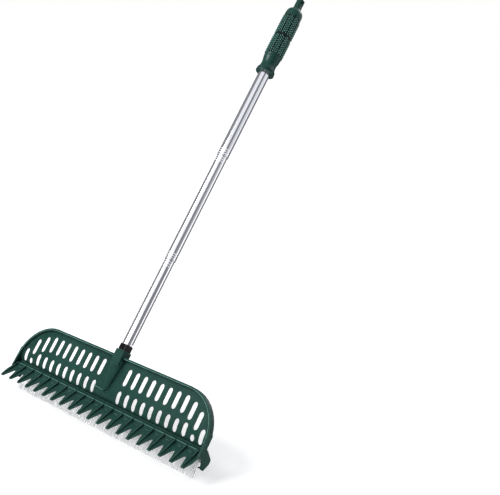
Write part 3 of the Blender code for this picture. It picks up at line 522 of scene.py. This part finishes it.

# %% [markdown]
# ### Crevice shade
# The photographed plastic is nearly black where the plate meets the ledge and between the
# tines, where shade falls. More contrast in the light would also darken the open faces, so the
# shade is painted into the colour instead. The Ambient Occlusion node measures how closed in
# a point is, and a broken mask paints the colour darker only there.

# %% Crevice shade
crevice_group, crevice_in, crevice_out = start_group(
    "crevice_shade",
    [("Vector", "NodeSocketVector", None), ("Color", "NodeSocketColor", (0.5, 0.5, 0.5, 1)),
     ("Deep", "NodeSocketColor", (0.002, 0.010, 0.008, 1)), ("Reach", "NodeSocketFloat", 0.010),
     ("Amount", "NodeSocketFloat", 0.8)],
    [("Color", "NodeSocketColor")])
closed_in = crevice_group.nodes.new("ShaderNodeAmbientOcclusion")
closed_in.samples = 8
crevice_group.links.new(crevice_in.outputs["Reach"], closed_in.inputs["Distance"])
broken = noise(crevice_group, crevice_in.outputs["Vector"], scale=60.0, detail=5.0,
               roughness=0.6)
painted_shade_breakup = remap(crevice_group, broken, low=0.30, high=0.65, to_low=0.75, to_high=1.0)
# Painted shade: the more closed in a point is, the darker its colour is painted.
shelter = remap(crevice_group, closed_in.outputs["AO"], low=0.92, high=0.35)
crevice_mask = calculate(crevice_group, "MULTIPLY", shelter,
                         calculate(crevice_group, "MULTIPLY", painted_shade_breakup,
                                   crevice_in.outputs["Amount"]))
shaded_colour = blend_colours(crevice_group, crevice_mask, crevice_in.outputs["Color"],
                              crevice_in.outputs["Deep"])
crevice_group.links.new(shaded_colour, crevice_out.inputs["Color"])
print("nodes in the crevice shade:", len(crevice_group.nodes))

# %% [markdown]
# ### Rounded edges
# No moulded edge is as sharp as the solid's. Bevelling the loaded solids would change their
# shape, which has to stay. The Bevel node rounds only the shading. Where its normal turns away
# from the true one there is an edge, and the same measure paints a pale highlight there.

# %% Rounded edges
edge_group, edge_in, edge_out = start_group(
    "rounded_edges",
    [("Vector", "NodeSocketVector", None), ("Color", "NodeSocketColor", (0.5, 0.5, 0.5, 1)),
     ("Highlight Color", "NodeSocketColor", (0.7, 0.7, 0.7, 1)),
     ("Radius", "NodeSocketFloat", 0.0008), ("Highlight Strength", "NodeSocketFloat", 0.5)],
    [("Color", "NodeSocketColor"), ("Normal", "NodeSocketVector")])
edge_soft = edge_group.nodes.new("ShaderNodeBevel")
edge_soft.samples = 6
edge_group.links.new(edge_in.outputs["Radius"], edge_soft.inputs["Radius"])
edge_true = edge_group.nodes.new("ShaderNodeNewGeometry")
edge_turn = edge_group.nodes.new("ShaderNodeVectorMath")
edge_turn.operation = "DOT_PRODUCT"
edge_group.links.new(edge_soft.outputs["Normal"], edge_turn.inputs[0])
edge_group.links.new(edge_true.outputs["Normal"], edge_turn.inputs[1])
turned_away = calculate(edge_group, "SUBTRACT", 1.0, edge_turn.outputs["Value"])
edge_found = remap(edge_group, turned_away, low=0.02, high=0.16)
uneven = noise(edge_group, edge_in.outputs["Vector"], scale=70.0, detail=4.0, roughness=0.6)
highlight_patches = remap(edge_group, uneven, low=0.30, high=0.62, to_low=0.45, to_high=1.0)
# Painted highlight: the colour is made paler along the edges that are found.
edge_highlight_mask = calculate(edge_group, "MULTIPLY",
                      calculate(edge_group, "MULTIPLY", edge_found, highlight_patches),
                      edge_in.outputs["Highlight Strength"])
highlighted_colour = blend_colours(edge_group, edge_highlight_mask, edge_in.outputs["Color"],
                              edge_in.outputs["Highlight Color"])
edge_group.links.new(highlighted_colour, edge_out.inputs["Color"])
edge_group.links.new(edge_soft.outputs["Normal"], edge_out.inputs["Normal"])
print("shared effects:", [g.name for g in bpy.data.node_groups])


# %% [markdown]
# ## Materials
# Every material starts the same way: Object coordinates turned back by the lean, so that a
# pattern runs up the handle and not up the room. Unwrapped textures would do too, but the
# solids come as loose triangles, and a pattern in space needs no unwrapping. Then each
# material places the groups it needs.

# %% Material helpers
def start_material(name):
    """A node material with coordinates that follow the leaning rake."""
    material = bpy.data.materials.new(name)
    material.use_nodes = True
    tree = material.node_tree
    shader = tree.nodes["Principled BSDF"]
    places = tree.nodes.new("ShaderNodeTexCoord")
    turned = tree.nodes.new("ShaderNodeMapping")
    turned.inputs["Rotation"].default_value = (lean, 0, 0)
    tree.links.new(places.outputs["Object"], turned.inputs["Vector"])
    return material, tree, shader, turned.outputs["Vector"]


def place_group(tree, group, vector, values):
    """Place a node group in a material with its own values."""
    node = tree.nodes.new("ShaderNodeGroup")
    node.node_tree = group
    tree.links.new(vector, node.inputs["Vector"])
    for name, value in values.items():
        if isinstance(value, bpy.types.NodeSocket):
            tree.links.new(value, node.inputs[name])
        else:
            node.inputs[name].default_value = (*value, 1) if isinstance(value, tuple) else value
    return node


def add_bump(tree, shader, height, distance, strength, normal=None):
    """Feed a height to the shader's normal through a Bump node."""
    bump = tree.nodes.new("ShaderNodeBump")
    bump.inputs["Distance"].default_value = distance
    bump.inputs["Strength"].default_value = strength
    tree.links.new(height, bump.inputs["Height"])
    if normal:
        tree.links.new(normal, bump.inputs["Normal"])
    tree.links.new(bump.outputs["Normal"], shader.inputs["Normal"])


# %% [markdown]
# ### A stretch along the handle
# Shade is painted on the ground under the grip's studs, darker than the rest of the grip. The
# grip is one solid, so a second material can't be given to part of it without cutting its mesh.
# A mask does it: the height along the handle is compared with a foot and a top, and both ends
# fade over 3 mm.
# the height along the handle is compared with a foot and a top, and both ends fade over 3 mm.

# %% Mask of a stretch
FADE_OUTSIDE, FADE_INSIDE = 0.002, 0.001


def between(tree, vector, foot, top):
    """A mask of the stretch between two heights on the handle, soft at both ends."""
    along = tree.nodes.new("ShaderNodeSeparateXYZ")
    tree.links.new(vector, along.inputs[0])
    foot, top = foot + up.dot(origin), top + up.dot(origin)
    return calculate(tree, "MULTIPLY",
                     remap(tree, along.outputs["Z"], foot - FADE_OUTSIDE, foot + FADE_INSIDE),
                     remap(tree, along.outputs["Z"], top + FADE_OUTSIDE, top - FADE_INSIDE))


# %% [markdown]
# ### A moulded finish
# Plastic and rubber are built in layers: the skin from the mould, then shade painted into the
# corners, then a highlight painted along the edges, then dust. One function makes them all,
# and leaves out what a finish doesn't ask for.

# %% Moulded finish
SKIN_BUMP = 0.5


def moulded(name, base, pale, grain, smooth, rough, depth, dust,
            gloss=0.5, edge=None, crevice=None, field=None):
    """Moulded plastic or rubber: skin, painted shade and highlight, then dust on what faces up.

    grain is how fine the grain is, and depth how deep. gloss is the shader's specular level.
    edge is the radius of the edges, how strongly a highlight is painted along them, and its
    colour.
    crevice is how far the shade painted into a corner reaches, and how dark it is.
    field is a stretch along the handle, from its foot to its top, and its painted shade colour."""
    material, tree, shader, vector = start_material(name)
    skin = place_group(tree, skin_group, vector, {
        "Base": base, "Pale": pale, "Grain Scale": grain, "Smooth": smooth, "Rough": rough})
    colour, normal = skin.outputs["Color"], None
    if field:
        # Shade painted on a stretch of the handle.
        colour = blend_colours(tree, between(tree, vector, *field[:2]), colour, field[2])
    if crevice:
        # Painted shade in the corners.
        shaded = place_group(tree, crevice_group, vector, {
            "Color": colour, "Reach": crevice[0], "Amount": crevice[1]})
        colour = shaded.outputs["Color"]
    if edge:
        # Painted highlight along the edges.
        highlighted = place_group(tree, edge_group, vector, {
            "Color": colour, "Radius": edge[0], "Highlight Strength": edge[1], "Highlight Color": edge[2]})
        colour, normal = highlighted.outputs["Color"], highlighted.outputs["Normal"]
    dusted = place_group(tree, dust_group, vector, {"Color": colour, "Amount": dust})
    tree.links.new(dusted.outputs["Color"], shader.inputs["Base Color"])
    roughness = calculate(tree, "ADD", skin.outputs["Roughness"], dusted.outputs["Mask"])
    tree.links.new(roughness, shader.inputs["Roughness"])
    shader.inputs["Specular IOR Level"].default_value = gloss
    add_bump(tree, shader, skin.outputs["Height"], depth, SKIN_BUMP, normal)
    print(name, "has", len(tree.nodes), "nodes")
    return material


# %% [markdown]
# ### The green moulding and the black one
# The head and the end plug are one deep green plastic with a satin skin. Its gloss is kept
# low, because the white room would turn a glossy green grey. Shade is painted into its corners
# over 2 cm, and a pale highlight along its edges. The ferrule and the clips are a harder black
# plastic, smoother and a little glossier, with a grey highlight painted along their edges.

# %% Green and black mouldings
green = moulded("green_moulding", base=(0.014, 0.060, 0.047), pale=(0.028, 0.094, 0.075),
                grain=1100.0, smooth=0.25, rough=0.42, depth=0.00010, dust=0.03, gloss=0.07,
                edge=(0.0014, 0.80, (0.14, 0.30, 0.25)), crevice=(0.020, 1.0))
black = moulded("black_moulding", base=(0.003, 0.003, 0.0035), pale=(0.010, 0.010, 0.011),
                grain=1300.0, smooth=0.16, rough=0.30, depth=0.00010, dust=0.02, gloss=0.12,
                edge=(0.0010, 0.8, (0.20, 0.23, 0.23)))

# %% [markdown]
# ### The rubber of the grip
# The grip is a softer green rubber. Between the flutes its ground gets painted shade, nearly
# black, and the studs on it get a painted highlight. From a distance the eye reads this contrast
# and not the single blocks, so shade is painted on the ground along that stretch of the handle,
# and the studs get a paler material of their own, with a paler highlight painted on their edges.

# %% Rubber finishes
GRIP_SHADE_FOOT = 0.8215
GRIP_SHADE_TOP = 0.9215
# Painted shade in the corners and on the ground between the studs; painted highlight on edges.
rubber = moulded("grip_rubber", base=(0.010, 0.058, 0.045), pale=(0.022, 0.088, 0.070),
                 grain=1700.0, smooth=0.22, rough=0.38, depth=0.00008, dust=0.02, gloss=0.22,
                 edge=(0.0006, 0.45, (0.10, 0.26, 0.20)), crevice=(0.006, 1.0),
                 field=(GRIP_SHADE_FOOT, GRIP_SHADE_TOP, (0.0015, 0.010, 0.008)))
# A paler copy of the grip's rubber: the studs' painted highlight.
highlit_stud_rubber = moulded("highlit_stud_rubber", base=(0.070, 0.230, 0.190), pale=(0.120, 0.330, 0.280),
                      grain=1700.0, smooth=0.22, rough=0.38, depth=0.00010, dust=0.03,
                      gloss=0.40, edge=(0.0005, 0.85, (0.35, 0.62, 0.54)))

# %% [markdown]
# ### Small finishes
# The thin rods that paint highlight lines need a pale green of their own, because they are
# thinner than the painted edge highlight can find. The inserts inside the tubes are a dull
# black. The border of the label place is painted pale grey as a highlight, and the bar of the
# brush is an off-white plastic with a paler highlight painted on its edges.
# Nylon thread is clear, yet a bundle of it looks white, because each thread bends the light a
# little. So it is part transmission, with an index close to air: a higher one would turn the
# bundle dark.

# %% Small finishes
NYLON_CLEARNESS = 0.58
NYLON_INDEX = 1.08
# Pale green that paints highlight lines.
highlight_green = moulded("highlight_green", base=(0.130, 0.320, 0.265), pale=(0.210, 0.440, 0.375),
                       grain=1300.0, smooth=0.25, rough=0.40, depth=0.00006, dust=0.02,
                       gloss=0.25)
insert_black = moulded("insert_moulding", base=(0.028, 0.028, 0.030), pale=(0.06, 0.06, 0.062),
                       grain=1500.0, smooth=0.35, rough=0.5, depth=0.00010, dust=0.0)
nylon = moulded("clear_nylon", base=(0.97, 0.975, 0.98), pale=(0.99, 0.99, 0.99),
                grain=2000.0, smooth=0.24, rough=0.42, depth=0.00005, dust=0.0)
nylon_shader = nylon.node_tree.nodes["Principled BSDF"]
nylon_shader.inputs["Transmission Weight"].default_value = NYLON_CLEARNESS
nylon_shader.inputs["IOR"].default_value = NYLON_INDEX
# Its edges get a painted highlight.
carrier_white = moulded("carrier_moulding", base=(0.62, 0.63, 0.64), pale=(0.74, 0.75, 0.76),
                        grain=1400.0, smooth=0.34, rough=0.50, depth=0.00008, dust=0.0,
                        edge=(0.0006, 0.4, (0.85, 0.86, 0.87)))
# Pale grey that paints a highlight round the label place.
border_highlight_grey = moulded("label_border_highlight", base=(0.42, 0.44, 0.44), pale=(0.58, 0.60, 0.60),
                      grain=1500.0, smooth=0.28, rough=0.44, depth=0.00006, dust=0.03)


# %% [markdown]
# ### Metal finishes
# The tubes are bright drawn aluminium, and the screw and its washer are plated steel, which is
# yellower and duller. Both come from the same function with their own colours. The bump stays
# very small: more of it breaks the long reflections into dots.

# %% Metal finishes
LINE_BUMP = 0.04


def drawn(name, bright, dull, smooth, rough, depth):
    """Drawn metal with lines along its length; depth is how deep they are."""
    material, tree, shader, vector = start_material(name)
    lines_node = place_group(tree, drawn_group, vector, {
        "Bright": bright, "Dull": dull, "Smooth": smooth, "Rough": rough})
    tree.links.new(lines_node.outputs["Color"], shader.inputs["Base Color"])
    tree.links.new(lines_node.outputs["Roughness"], shader.inputs["Roughness"])
    shader.inputs["Metallic"].default_value = 1.0
    add_bump(tree, shader, lines_node.outputs["Height"], depth, LINE_BUMP)
    print(name, "has", len(tree.nodes), "nodes")
    return material


tube_metal = drawn("drawn_tube", bright=(0.88, 0.885, 0.92), dull=(0.74, 0.745, 0.785),
                   smooth=0.07, rough=0.14, depth=0.00003)
screw_metal = drawn("plated_screw", bright=(0.84, 0.83, 0.80), dull=(0.62, 0.61, 0.58),
                    smooth=0.24, rough=0.40, depth=0.00004)

# %% [markdown]
# ### A finish for each solid
# The solids keep their meshes and get new materials. A table from node to finish could give
# every clip a line of its own, but all seven are alike and are found by their name.

# %% Finishes on the solids
finishes = {"head": green, "label_plate": black, "brush_strip": nylon, "ferrule": black,
            "ferrule_screw": screw_metal, "tube_lower": tube_metal, "tube_middle": tube_metal,
            "tube_upper": tube_metal, "lower_socket_insert": insert_black,
            "middle_stud_insert": insert_black, "middle_socket_insert": insert_black,
            "upper_stud_insert": insert_black, "grip": rubber, "end_plug": green}
for name, node in nodes.items():
    finish = black if name.startswith("strip_clip") else finishes[name]
    node.data.materials.clear()
    node.data.materials.append(finish)
print("materials placed on", len(nodes), "solids")


# %% [markdown]
# ## Making a piece
# A piece is modelled in the rake's own frame, where the numbers are easy. One transform then
# leans it, so its object stays at the origin and only the mesh holds the place. An object
# turned and moved into place would look the same here, but its pattern could slide on export.
# Spin and extrude make the same points and faces in each run, but the order of their faces can
# change. So the faces are sorted by the numbers of their points, and each run gives one mesh.

# %% Piece helpers
def sort_faces(work):
    """Put the faces of a bmesh in the order of their points' numbers."""
    work.verts.index_update()
    by_points = sorted(work.faces, key=lambda face: sorted(v.index for v in face.verts))
    rank = {face: number for number, face in enumerate(by_points)}
    work.faces.sort(key=rank.get)


def make_piece(name, work, material, body, smooth=None):
    """Turn a bmesh in the rake's own frame into a piece that rides on a body."""
    sort_faces(work)
    bmesh.ops.recalc_face_normals(work, faces=work.faces)
    bmesh.ops.transform(work, matrix=stance, verts=work.verts)
    mesh = bpy.data.meshes.new(name)
    work.to_mesh(mesh)
    work.free()
    if smooth is not None:
        mesh.shade_smooth()
        mesh.set_sharp_from_angle(angle=math.radians(smooth))
    mesh.materials.append(material)
    piece = bpy.data.objects.new(name, mesh)
    bpy.context.scene.collection.objects.link(piece)
    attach(piece, body)
    triangles = sum(len(face.vertices) - 2 for face in mesh.polygons)
    print(name, "has", triangles, "triangles")
    return piece


# %% [markdown]
# Bristles, studs and beads are one small shape many times over. Instances would save memory,
# but a piece has to be one real mesh. So the small shape is kept as a mesh, and copied into a
# larger one with a matrix for each copy.

# %% Copying helpers
def form_mesh(work, name):
    """Keep a small shape as a mesh, ready to be copied many times."""
    mesh = bpy.data.meshes.new(name)
    work.to_mesh(mesh)
    work.free()
    print(name, "has", len(mesh.polygons), "faces")
    return mesh


def add_copies(work, form, places):
    """Add a small mesh to a bmesh many times, moved by each matrix in turn."""
    for place in places:
        before = len(work.verts)
        work.from_mesh(form)
        work.verts.ensure_lookup_table()
        bmesh.ops.transform(work, matrix=place, verts=work.verts[before:])


# %% [markdown]
# ## The carrier of the brush
# The brush is a bar that clips under the ledge. The solid model has the bar and stands a few
# thick rods for its bristles. The bar could be built again, but it has pockets that the clips
# sit in. So a copy of the solid is merged and cut off just above the foot of the bar, which
# leaves the bar alone, and the cut is filled. It replaces the strip and its rods.

# %% Brush carrier
STRIP_FRONT = 0.027554
STRIP_BACK = 0.019754
STRIP_FOOT = -0.013822
STRIP_CUT = STRIP_FOOT + 0.0002
to_own_frame = stance.inverted()
carrier = bmesh.new()
carrier.from_mesh(nodes["brush_strip"].data)
bmesh.ops.remove_doubles(carrier, verts=carrier.verts, dist=1e-6)
bmesh.ops.transform(carrier, matrix=to_own_frame, verts=carrier.verts)
bmesh.ops.bisect_plane(carrier, geom=carrier.verts[:] + carrier.edges[:] + carrier.faces[:],
                       plane_co=(0, 0, STRIP_CUT), plane_no=(0, 0, 1), clear_inner=True)
open_edges = [e for e in carrier.edges if e.is_boundary]
bmesh.ops.holes_fill(carrier, edges=open_edges, sides=0)
carrier_piece = make_piece("brush_carrier", carrier, carrier_white, "head_body",
                           30)
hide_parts("brush_strip")

# %% [markdown]
# ## The bristles
# The real bristles are white nylon threads, a little thinner at the tip, set in rows so close
# that they look like one white curtain with a fringed edge. Hair particles would be quick to
# grow, but they aren't a mesh. A flat sheet with a cut-out pattern would look thin from the
# side. So each bristle is a five-sided rod of four rings, made once and copied.

# %% One bristle
BRISTLE_RADIUS = 0.00050
TIP_SHARE = 0.72
rod = bmesh.new()
bmesh.ops.create_cone(rod, cap_ends=True, segments=5, radius1=BRISTLE_RADIUS * TIP_SHARE,
                      radius2=BRISTLE_RADIUS, depth=1.0)
bmesh.ops.translate(rod, verts=rod.verts, vec=(0, 0, -0.5))
long_edges = [e for e in rod.edges if abs(e.verts[0].co.z - e.verts[1].co.z) > 0.5]
bmesh.ops.subdivide_edges(rod, edges=long_edges, cuts=2)
bristle_form = form_mesh(rod, "bristle_form")

# %% [markdown]
# Each copy gets a small lean of its own, in degrees. The outer rows splay outwards, and so do
# the ends of the strip, as on a brush that has been used. The lengths stray a little, and no
# tip goes below the ground: the room left along its own direction caps it, as if the rake
# stood lightly on its bristles. The random numbers start from a fixed seed, so every run grows
# the same brush.

# %% Bristles
BRISTLE_LENGTH = 0.034
BRISTLE_SPAN = 0.5136
BRISTLE_COLUMNS = 124
BRISTLE_ROWS = 5
ROW_SPREAD = 0.72
ROOT_DEPTH = 0.0012
ROOT_STRAY = 0.0004
TIP_CLEARANCE = 0.0004
LENGTH_STRAY = (-0.0012, 0.0006)
END_SPLAY, SPLAY_STRAY = 7, 1.1
LEAN_OUT, ROW_LEAN, LEAN_STRAY = 4, 13, 1.2
rng = random.Random(7)
bristle_places = []
for row in range(BRISTLE_ROWS):
    across_row = (row + 0.5) / BRISTLE_ROWS - 0.5
    y = (STRIP_FRONT + STRIP_BACK) / 2 + across_row * (STRIP_FRONT - STRIP_BACK) * ROW_SPREAD
    for column in range(BRISTLE_COLUMNS):
        along_row = (column + 0.25 + 0.5 * (row % 2)) / BRISTLE_COLUMNS - 0.5
        x = along_row * BRISTLE_SPAN + rng.uniform(-ROOT_STRAY, ROOT_STRAY)
        splay = math.radians(along_row * END_SPLAY + rng.gauss(0, SPLAY_STRAY))
        tip_out = math.radians(LEAN_OUT + across_row * ROW_LEAN + rng.gauss(0, LEAN_STRAY))
        turn = Matrix.Rotation(-splay, 4, "Y") @ Matrix.Rotation(tip_out, 4, "X")
        root = Matrix.Translation((x, y, STRIP_FOOT + ROOT_DEPTH))
        way = (stance @ root @ turn).to_3x3() @ Vector((0, 0, -1))
        room = ((stance @ root).translation.z - TIP_CLEARANCE) / -way.z
        length = min(BRISTLE_LENGTH + rng.uniform(*LENGTH_STRAY), room)
        bristle_places.append(root @ turn @ Matrix.Diagonal((1, 1, length, 1)))
bristles = bmesh.new()
add_copies(bristles, bristle_form, bristle_places)
make_piece("bristles", bristles, nylon, "head_body", 60)
print("bristles:", len(bristle_places))

# %% [markdown]
# ## Studs on the grip
# Between its long flutes the rubber grip has fields of small raised blocks that stop a wet
# hand from sliding. A bump pattern would be cheaper, but it vanishes at the grip's outline,
# and that is where blocks are seen best. One block is a four-sided frustum with its edges
# bevelled soft, a little longer up the handle than it is wide.

# %% One stud
STUD_FOOT, STUD_CROWN = 0.0018, 0.0013
STUD_DEPTH = 0.0020
STUD_STRETCH = 1.35
STUD_SOFTNESS = 0.00022
block = bmesh.new()
bmesh.ops.create_cone(block, cap_ends=True, segments=4, radius1=STUD_FOOT,
                      radius2=STUD_CROWN, depth=STUD_DEPTH)
bmesh.ops.rotate(block, verts=block.verts, matrix=Matrix.Rotation(math.radians(45), 3, "Z"))
bmesh.ops.scale(block, verts=block.verts, vec=(1.0, STUD_STRETCH, 1.0))
bmesh.ops.bevel(block, geom=block.edges[:], offset=STUD_SOFTNESS, segments=1, profile=0.5,
                affect="EDGES", material=-1, offset_type="OFFSET")
stud_form = form_mesh(block, "stud_form")

# %% [markdown]
# Three columns stand in each field between two flutes. The middle column is staggered by half
# a step, which packs the blocks like bricks, and the middle row is left out as a bare band.

# %% Grip studs
GRIP_FOOT = 0.7758
GRIP_RADIUS = 0.0197
STUD_FIELDS = 10
STUD_ROWS = 17
STUD_FIRST = GRIP_FOOT + 0.0485
STUD_LAST = GRIP_FOOT + 0.1430
STUD_STEP = 10.4
STUD_LIFT = 0.0004
stud_places = []
for field in range(STUD_FIELDS):
    for column in (-1, 0, 1):
        angle = math.radians(360 / STUD_FIELDS * field + column * STUD_STEP)
        for row in range(STUD_ROWS):
            if row == STUD_ROWS // 2:
                continue
            share = (row + (0.5 if column == 0 else 0.0)) / (STUD_ROWS - 0.5)
            z = STUD_FIRST + (STUD_LAST - STUD_FIRST) * share
            turn = Matrix.Rotation(angle, 4, "Z") @ Matrix.Rotation(math.radians(-90), 4, "X")
            out = Matrix.Rotation(angle, 4, "Z") @ Vector((0, GRIP_RADIUS + STUD_LIFT, 0))
            stud_places.append(Matrix.Translation((out.x, SOCKET_OFFSET + out.y, z)) @ turn)
studs = bmesh.new()
add_copies(studs, stud_form, stud_places)
make_piece("grip_studs", studs, highlit_stud_rubber, "upper_section")
print("studs:", len(stud_places))


# %% [markdown]
# ## The collar under the hanging tab
# The end plug swells where it meets the dome of the grip, and a short turned collar closes the
# corner under the tab. A ready-made torus would be round in section, and this one has a flat
# foot and a sloping shoulder. So its section is drawn once and spun round the handle's axis.
# The washer of the screw is made the same way, so the spin is a function.

# %% Plug collar
def turned_ring(section, steps):
    """Spin a closed section of (radius, height) points once round Z."""
    work = bmesh.new()
    points = [work.verts.new((radius, 0, height)) for radius, height in section]
    sides = [work.edges.new((a, b)) for a, b in zip(points, points[1:] + points[:1])]
    bmesh.ops.spin(work, geom=points + sides, cent=(0, 0, 0), axis=(0, 0, 1),
                   angle=2 * math.pi, steps=steps, use_merge=True)
    return work


PLUG_TOP = GRIP_FOOT + 0.1770
COLLAR_SECTION = [(0.0081, 0.0035), (0.0088, 0.0030), (0.0094, 0.0010), (0.0096, -0.0005),
                  (0.0095, -0.0018), (0.0081, -0.0018)]
collar = turned_ring(COLLAR_SECTION, 40)
bmesh.ops.translate(collar, verts=collar.verts, vec=(0, SOCKET_OFFSET, PLUG_TOP))
make_piece("plug_collar", collar, green, "upper_section", 40)

# %% [markdown]
# ## The label's border
# On the brush side of the socket is a place for a label, with a border that frames it, painted
# pale grey as a highlight.
# The place itself stays bare. Four thin strips could be laid round it, but their corners would
# have to be mitred. A square that is inset, emptied and pulled up gives a frame with clean
# corners in three steps.

# %% Label border
LABEL_SIZE = (0.0170, 0.0240)
LABEL_MARGIN = 0.0008
LABEL_PROUD = 0.0004
LABEL_DROP = 0.015
BORDER_WIDTH = 0.0009
BORDER_RISE = 0.0003
BORDER_SINK = 0.00005
SOCKET_DEPTH = 0.0245
label_face = SOCKET_OFFSET + SOCKET_DEPTH / 2 + LABEL_PROUD
label_height = SOCKET_TOP - LABEL_DROP
border = bmesh.new()
bmesh.ops.create_grid(border, x_segments=1, y_segments=1, size=0.5)
bmesh.ops.scale(border, verts=border.verts,
                vec=(LABEL_SIZE[0] - LABEL_MARGIN, LABEL_SIZE[1] - LABEL_MARGIN, 1))
panel = border.faces[:]
bmesh.ops.inset_region(border, faces=panel, thickness=BORDER_WIDTH, depth=0, use_boundary=True)
bmesh.ops.delete(border, geom=panel, context="FACES")
grown = bmesh.ops.extrude_face_region(border, geom=border.faces[:])
bmesh.ops.translate(border, vec=(0, 0, BORDER_RISE),
                    verts=[v for v in grown["geom"] if isinstance(v, bmesh.types.BMVert)])
bmesh.ops.transform(border, verts=border.verts,
                    matrix=Matrix.Translation((0, label_face - BORDER_SINK, label_height))
                    @ Matrix.Rotation(math.radians(-90), 4, "X"))
make_piece("label_border_highlight", border, border_highlight_grey, "head_body")

# %% [markdown]
# ## The screw's washer
# A bright washer sits under the head of the screw that holds the tube in its ferrule. A flat
# ring would do at this size, but a small chamfer on its outer edge catches a spark of light,
# so its section has five corners.

# %% Screw washer
WASHER_SECTION = [(0.0035, 0), (0.0044, 0), (0.0044, 0.00045), (0.0041, 0.0007),
                  (0.0036, 0.0007)]
FERRULE_WIDTH = 0.0205
SCREW_RISE = 0.00655
washer = turned_ring(WASHER_SECTION, 32)
washer_place = Matrix.Translation((0, SOCKET_OFFSET + FERRULE_WIDTH / 2,
                                   SOCKET_TOP + SCREW_RISE))
bmesh.ops.transform(washer, verts=washer.verts,
                    matrix=washer_place @ Matrix.Rotation(math.radians(-90), 4, "X"))
make_piece("screw_washer", washer, screw_metal, "lower_section", 40)

# %% [markdown]
# ## The ledge's beading
# A fine broken bead runs along the ledge where it meets the plate. One long bead with gaps cut
# in it would need a cut for each gap. It is easier to bevel one short bar and to copy it along
# the ledge. The copies skip the middle, where the skirt of the socket stands.

# %% Ledge beading
JUNCTION = Vector((0, 0.00899, 0.00788))
LEDGE_SLOPE = math.radians(33)
BEAD_SIZE = (0.0115, 0.0009, 0.0008)
BEAD_SOFTNESS = 0.00025
BEAD_COUNT = 33
BEAD_PITCH = 0.0158
BEAD_OUT, BEAD_UP = 0.0045, 0.0016
SKIRT_HALF = 0.030
ledge_frame = Matrix.Translation(JUNCTION) @ Matrix.Rotation(-LEDGE_SLOPE, 4, "X")
bead = bmesh.new()
bmesh.ops.create_cube(bead, size=1.0)
bmesh.ops.scale(bead, verts=bead.verts, vec=BEAD_SIZE)
bmesh.ops.bevel(bead, geom=bead.edges[:], offset=BEAD_SOFTNESS, segments=2, profile=0.5,
                affect="EDGES", material=-1)
bead_form = form_mesh(bead, "bead_form")
bead_places = []
for number in range(BEAD_COUNT):
    x = (number - BEAD_COUNT // 2) * BEAD_PITCH
    if abs(x) > SKIRT_HALF:
        bead_places.append(ledge_frame @ Matrix.Translation((x, BEAD_OUT, BEAD_UP)))
beading = bmesh.new()
add_copies(beading, bead_form, bead_places)
make_piece("ledge_beading", beading, green, "head_body")
print("beads:", len(bead_places))


# %% [markdown]
# ## Painted highlight lines
# Three highlight lines catch the light on the real head, and thin pale rods paint them: along
# the inner edge of the rim, down the foot of the fairing of the socket, and along the round bar
# that the tines grow from.
# Their places could be typed in, but the rim is a long curve. A copy of the head already has
# an edge at each place, so the script looks for those edges. A rim edge lies on the front
# face of the rim with a wall that looks inwards. A fairing edge is a hollow corner.

# %% Finding the lines
RIM_FRONT = -0.0065
RIM_CENTRE = Vector((0, 0, 0.030))
RIM_GAP = 0.0125
RIM_LOWEST = 0.012
PLATE_FRONT = -0.0015
FAIRING_BACK = -0.0008
FAIRING_HALF = 0.0165
FAIRING_FOOT, FAIRING_TOP = 0.0235, 0.0865
LOWEST_MIDDLE = 0.024
SHORTEST_LINE = 0.0003
NEAR = 1e-5
FACING_FRONT = -0.99


def is_rim_line(edge, ends, half_way):
    """Whether an edge is the inner front edge of the rim, clear of the socket."""
    flats = [f for f in edge.link_faces if f.normal.y < FACING_FRONT]
    walls = [f for f in edge.link_faces if f.normal.y >= FACING_FRONT]
    inward = RIM_CENTRE - half_way
    inward.y = 0
    return (all(abs(v.y - RIM_FRONT) < NEAR for v in ends) and flats and walls
            and walls[0].normal.dot(inward) > 0 and abs(half_way.x) > RIM_GAP
            and half_way.z > RIM_LOWEST)


def is_fairing_line(edge, ends, half_way):
    """Whether an edge is a hollow corner at the foot of the socket's fairing."""
    return (all(v.y > PLATE_FRONT - NEAR for v in ends) and not edge.is_convex
            and half_way.y < FAIRING_BACK and abs(half_way.x) < FAIRING_HALF
            and half_way.z > LOWEST_MIDDLE and edge.calc_length() > SHORTEST_LINE
            and all(FAIRING_FOOT < v.z < FAIRING_TOP for v in ends))


# %% [markdown]
# The copy of the head is merged first, because its triangles come loose and a loose edge has
# no neighbours. Each edge that is found becomes a stretch of line. The bar has no edge along
# its crown, so its line is given by its two ends.

# %% Line stretches
BAR_LINE = (-0.00060, 0.00245)
BAR_HALF = 0.258
shell = bmesh.new()
shell.from_mesh(nodes["head"].data)
bmesh.ops.remove_doubles(shell, verts=shell.verts, dist=1e-6)
bmesh.ops.transform(shell, matrix=to_own_frame, verts=shell.verts)
shell.normal_update()
line_ends = [(Vector((-BAR_HALF, *BAR_LINE)), Vector((BAR_HALF, *BAR_LINE)))]
for edge in shell.edges:
    if len(edge.link_faces) != 2:
        continue
    ends = [v.co.copy() for v in edge.verts]
    half_way = (ends[0] + ends[1]) / 2
    if is_rim_line(edge, ends, half_way) or is_fairing_line(edge, ends, half_way):
        line_ends.append(tuple(ends))
shell.free()
# The stretches found here become pale rods that paint highlight lines.
print("parting lines in", len(line_ends), "stretches")

# %% [markdown]
# Every stretch is a thin six-sided rod, a little longer than its edge, so that rods meet at a
# corner with no gap. A curve with a round bevel would bend more smoothly, but the stretches
# come in no order, and rods don't need one.

# %% Painted highlight lines
LINE_RADIUS = 0.00055
lines_work = bmesh.new()
for start, end in line_ends:
    along = end - start
    line_rod = bmesh.ops.create_cone(lines_work, cap_ends=True, segments=6,
                                     radius1=LINE_RADIUS, radius2=LINE_RADIUS,
                                     depth=along.length + LINE_RADIUS)
    bmesh.ops.transform(lines_work, verts=line_rod["verts"],
                        matrix=Matrix.Translation((start + end) / 2)
                        @ along.to_track_quat("Z", "Y").to_matrix().to_4x4())
# Pale rods that paint highlight lines.
make_piece("painted_highlight_lines", lines_work, highlight_green, "head_body", 60)
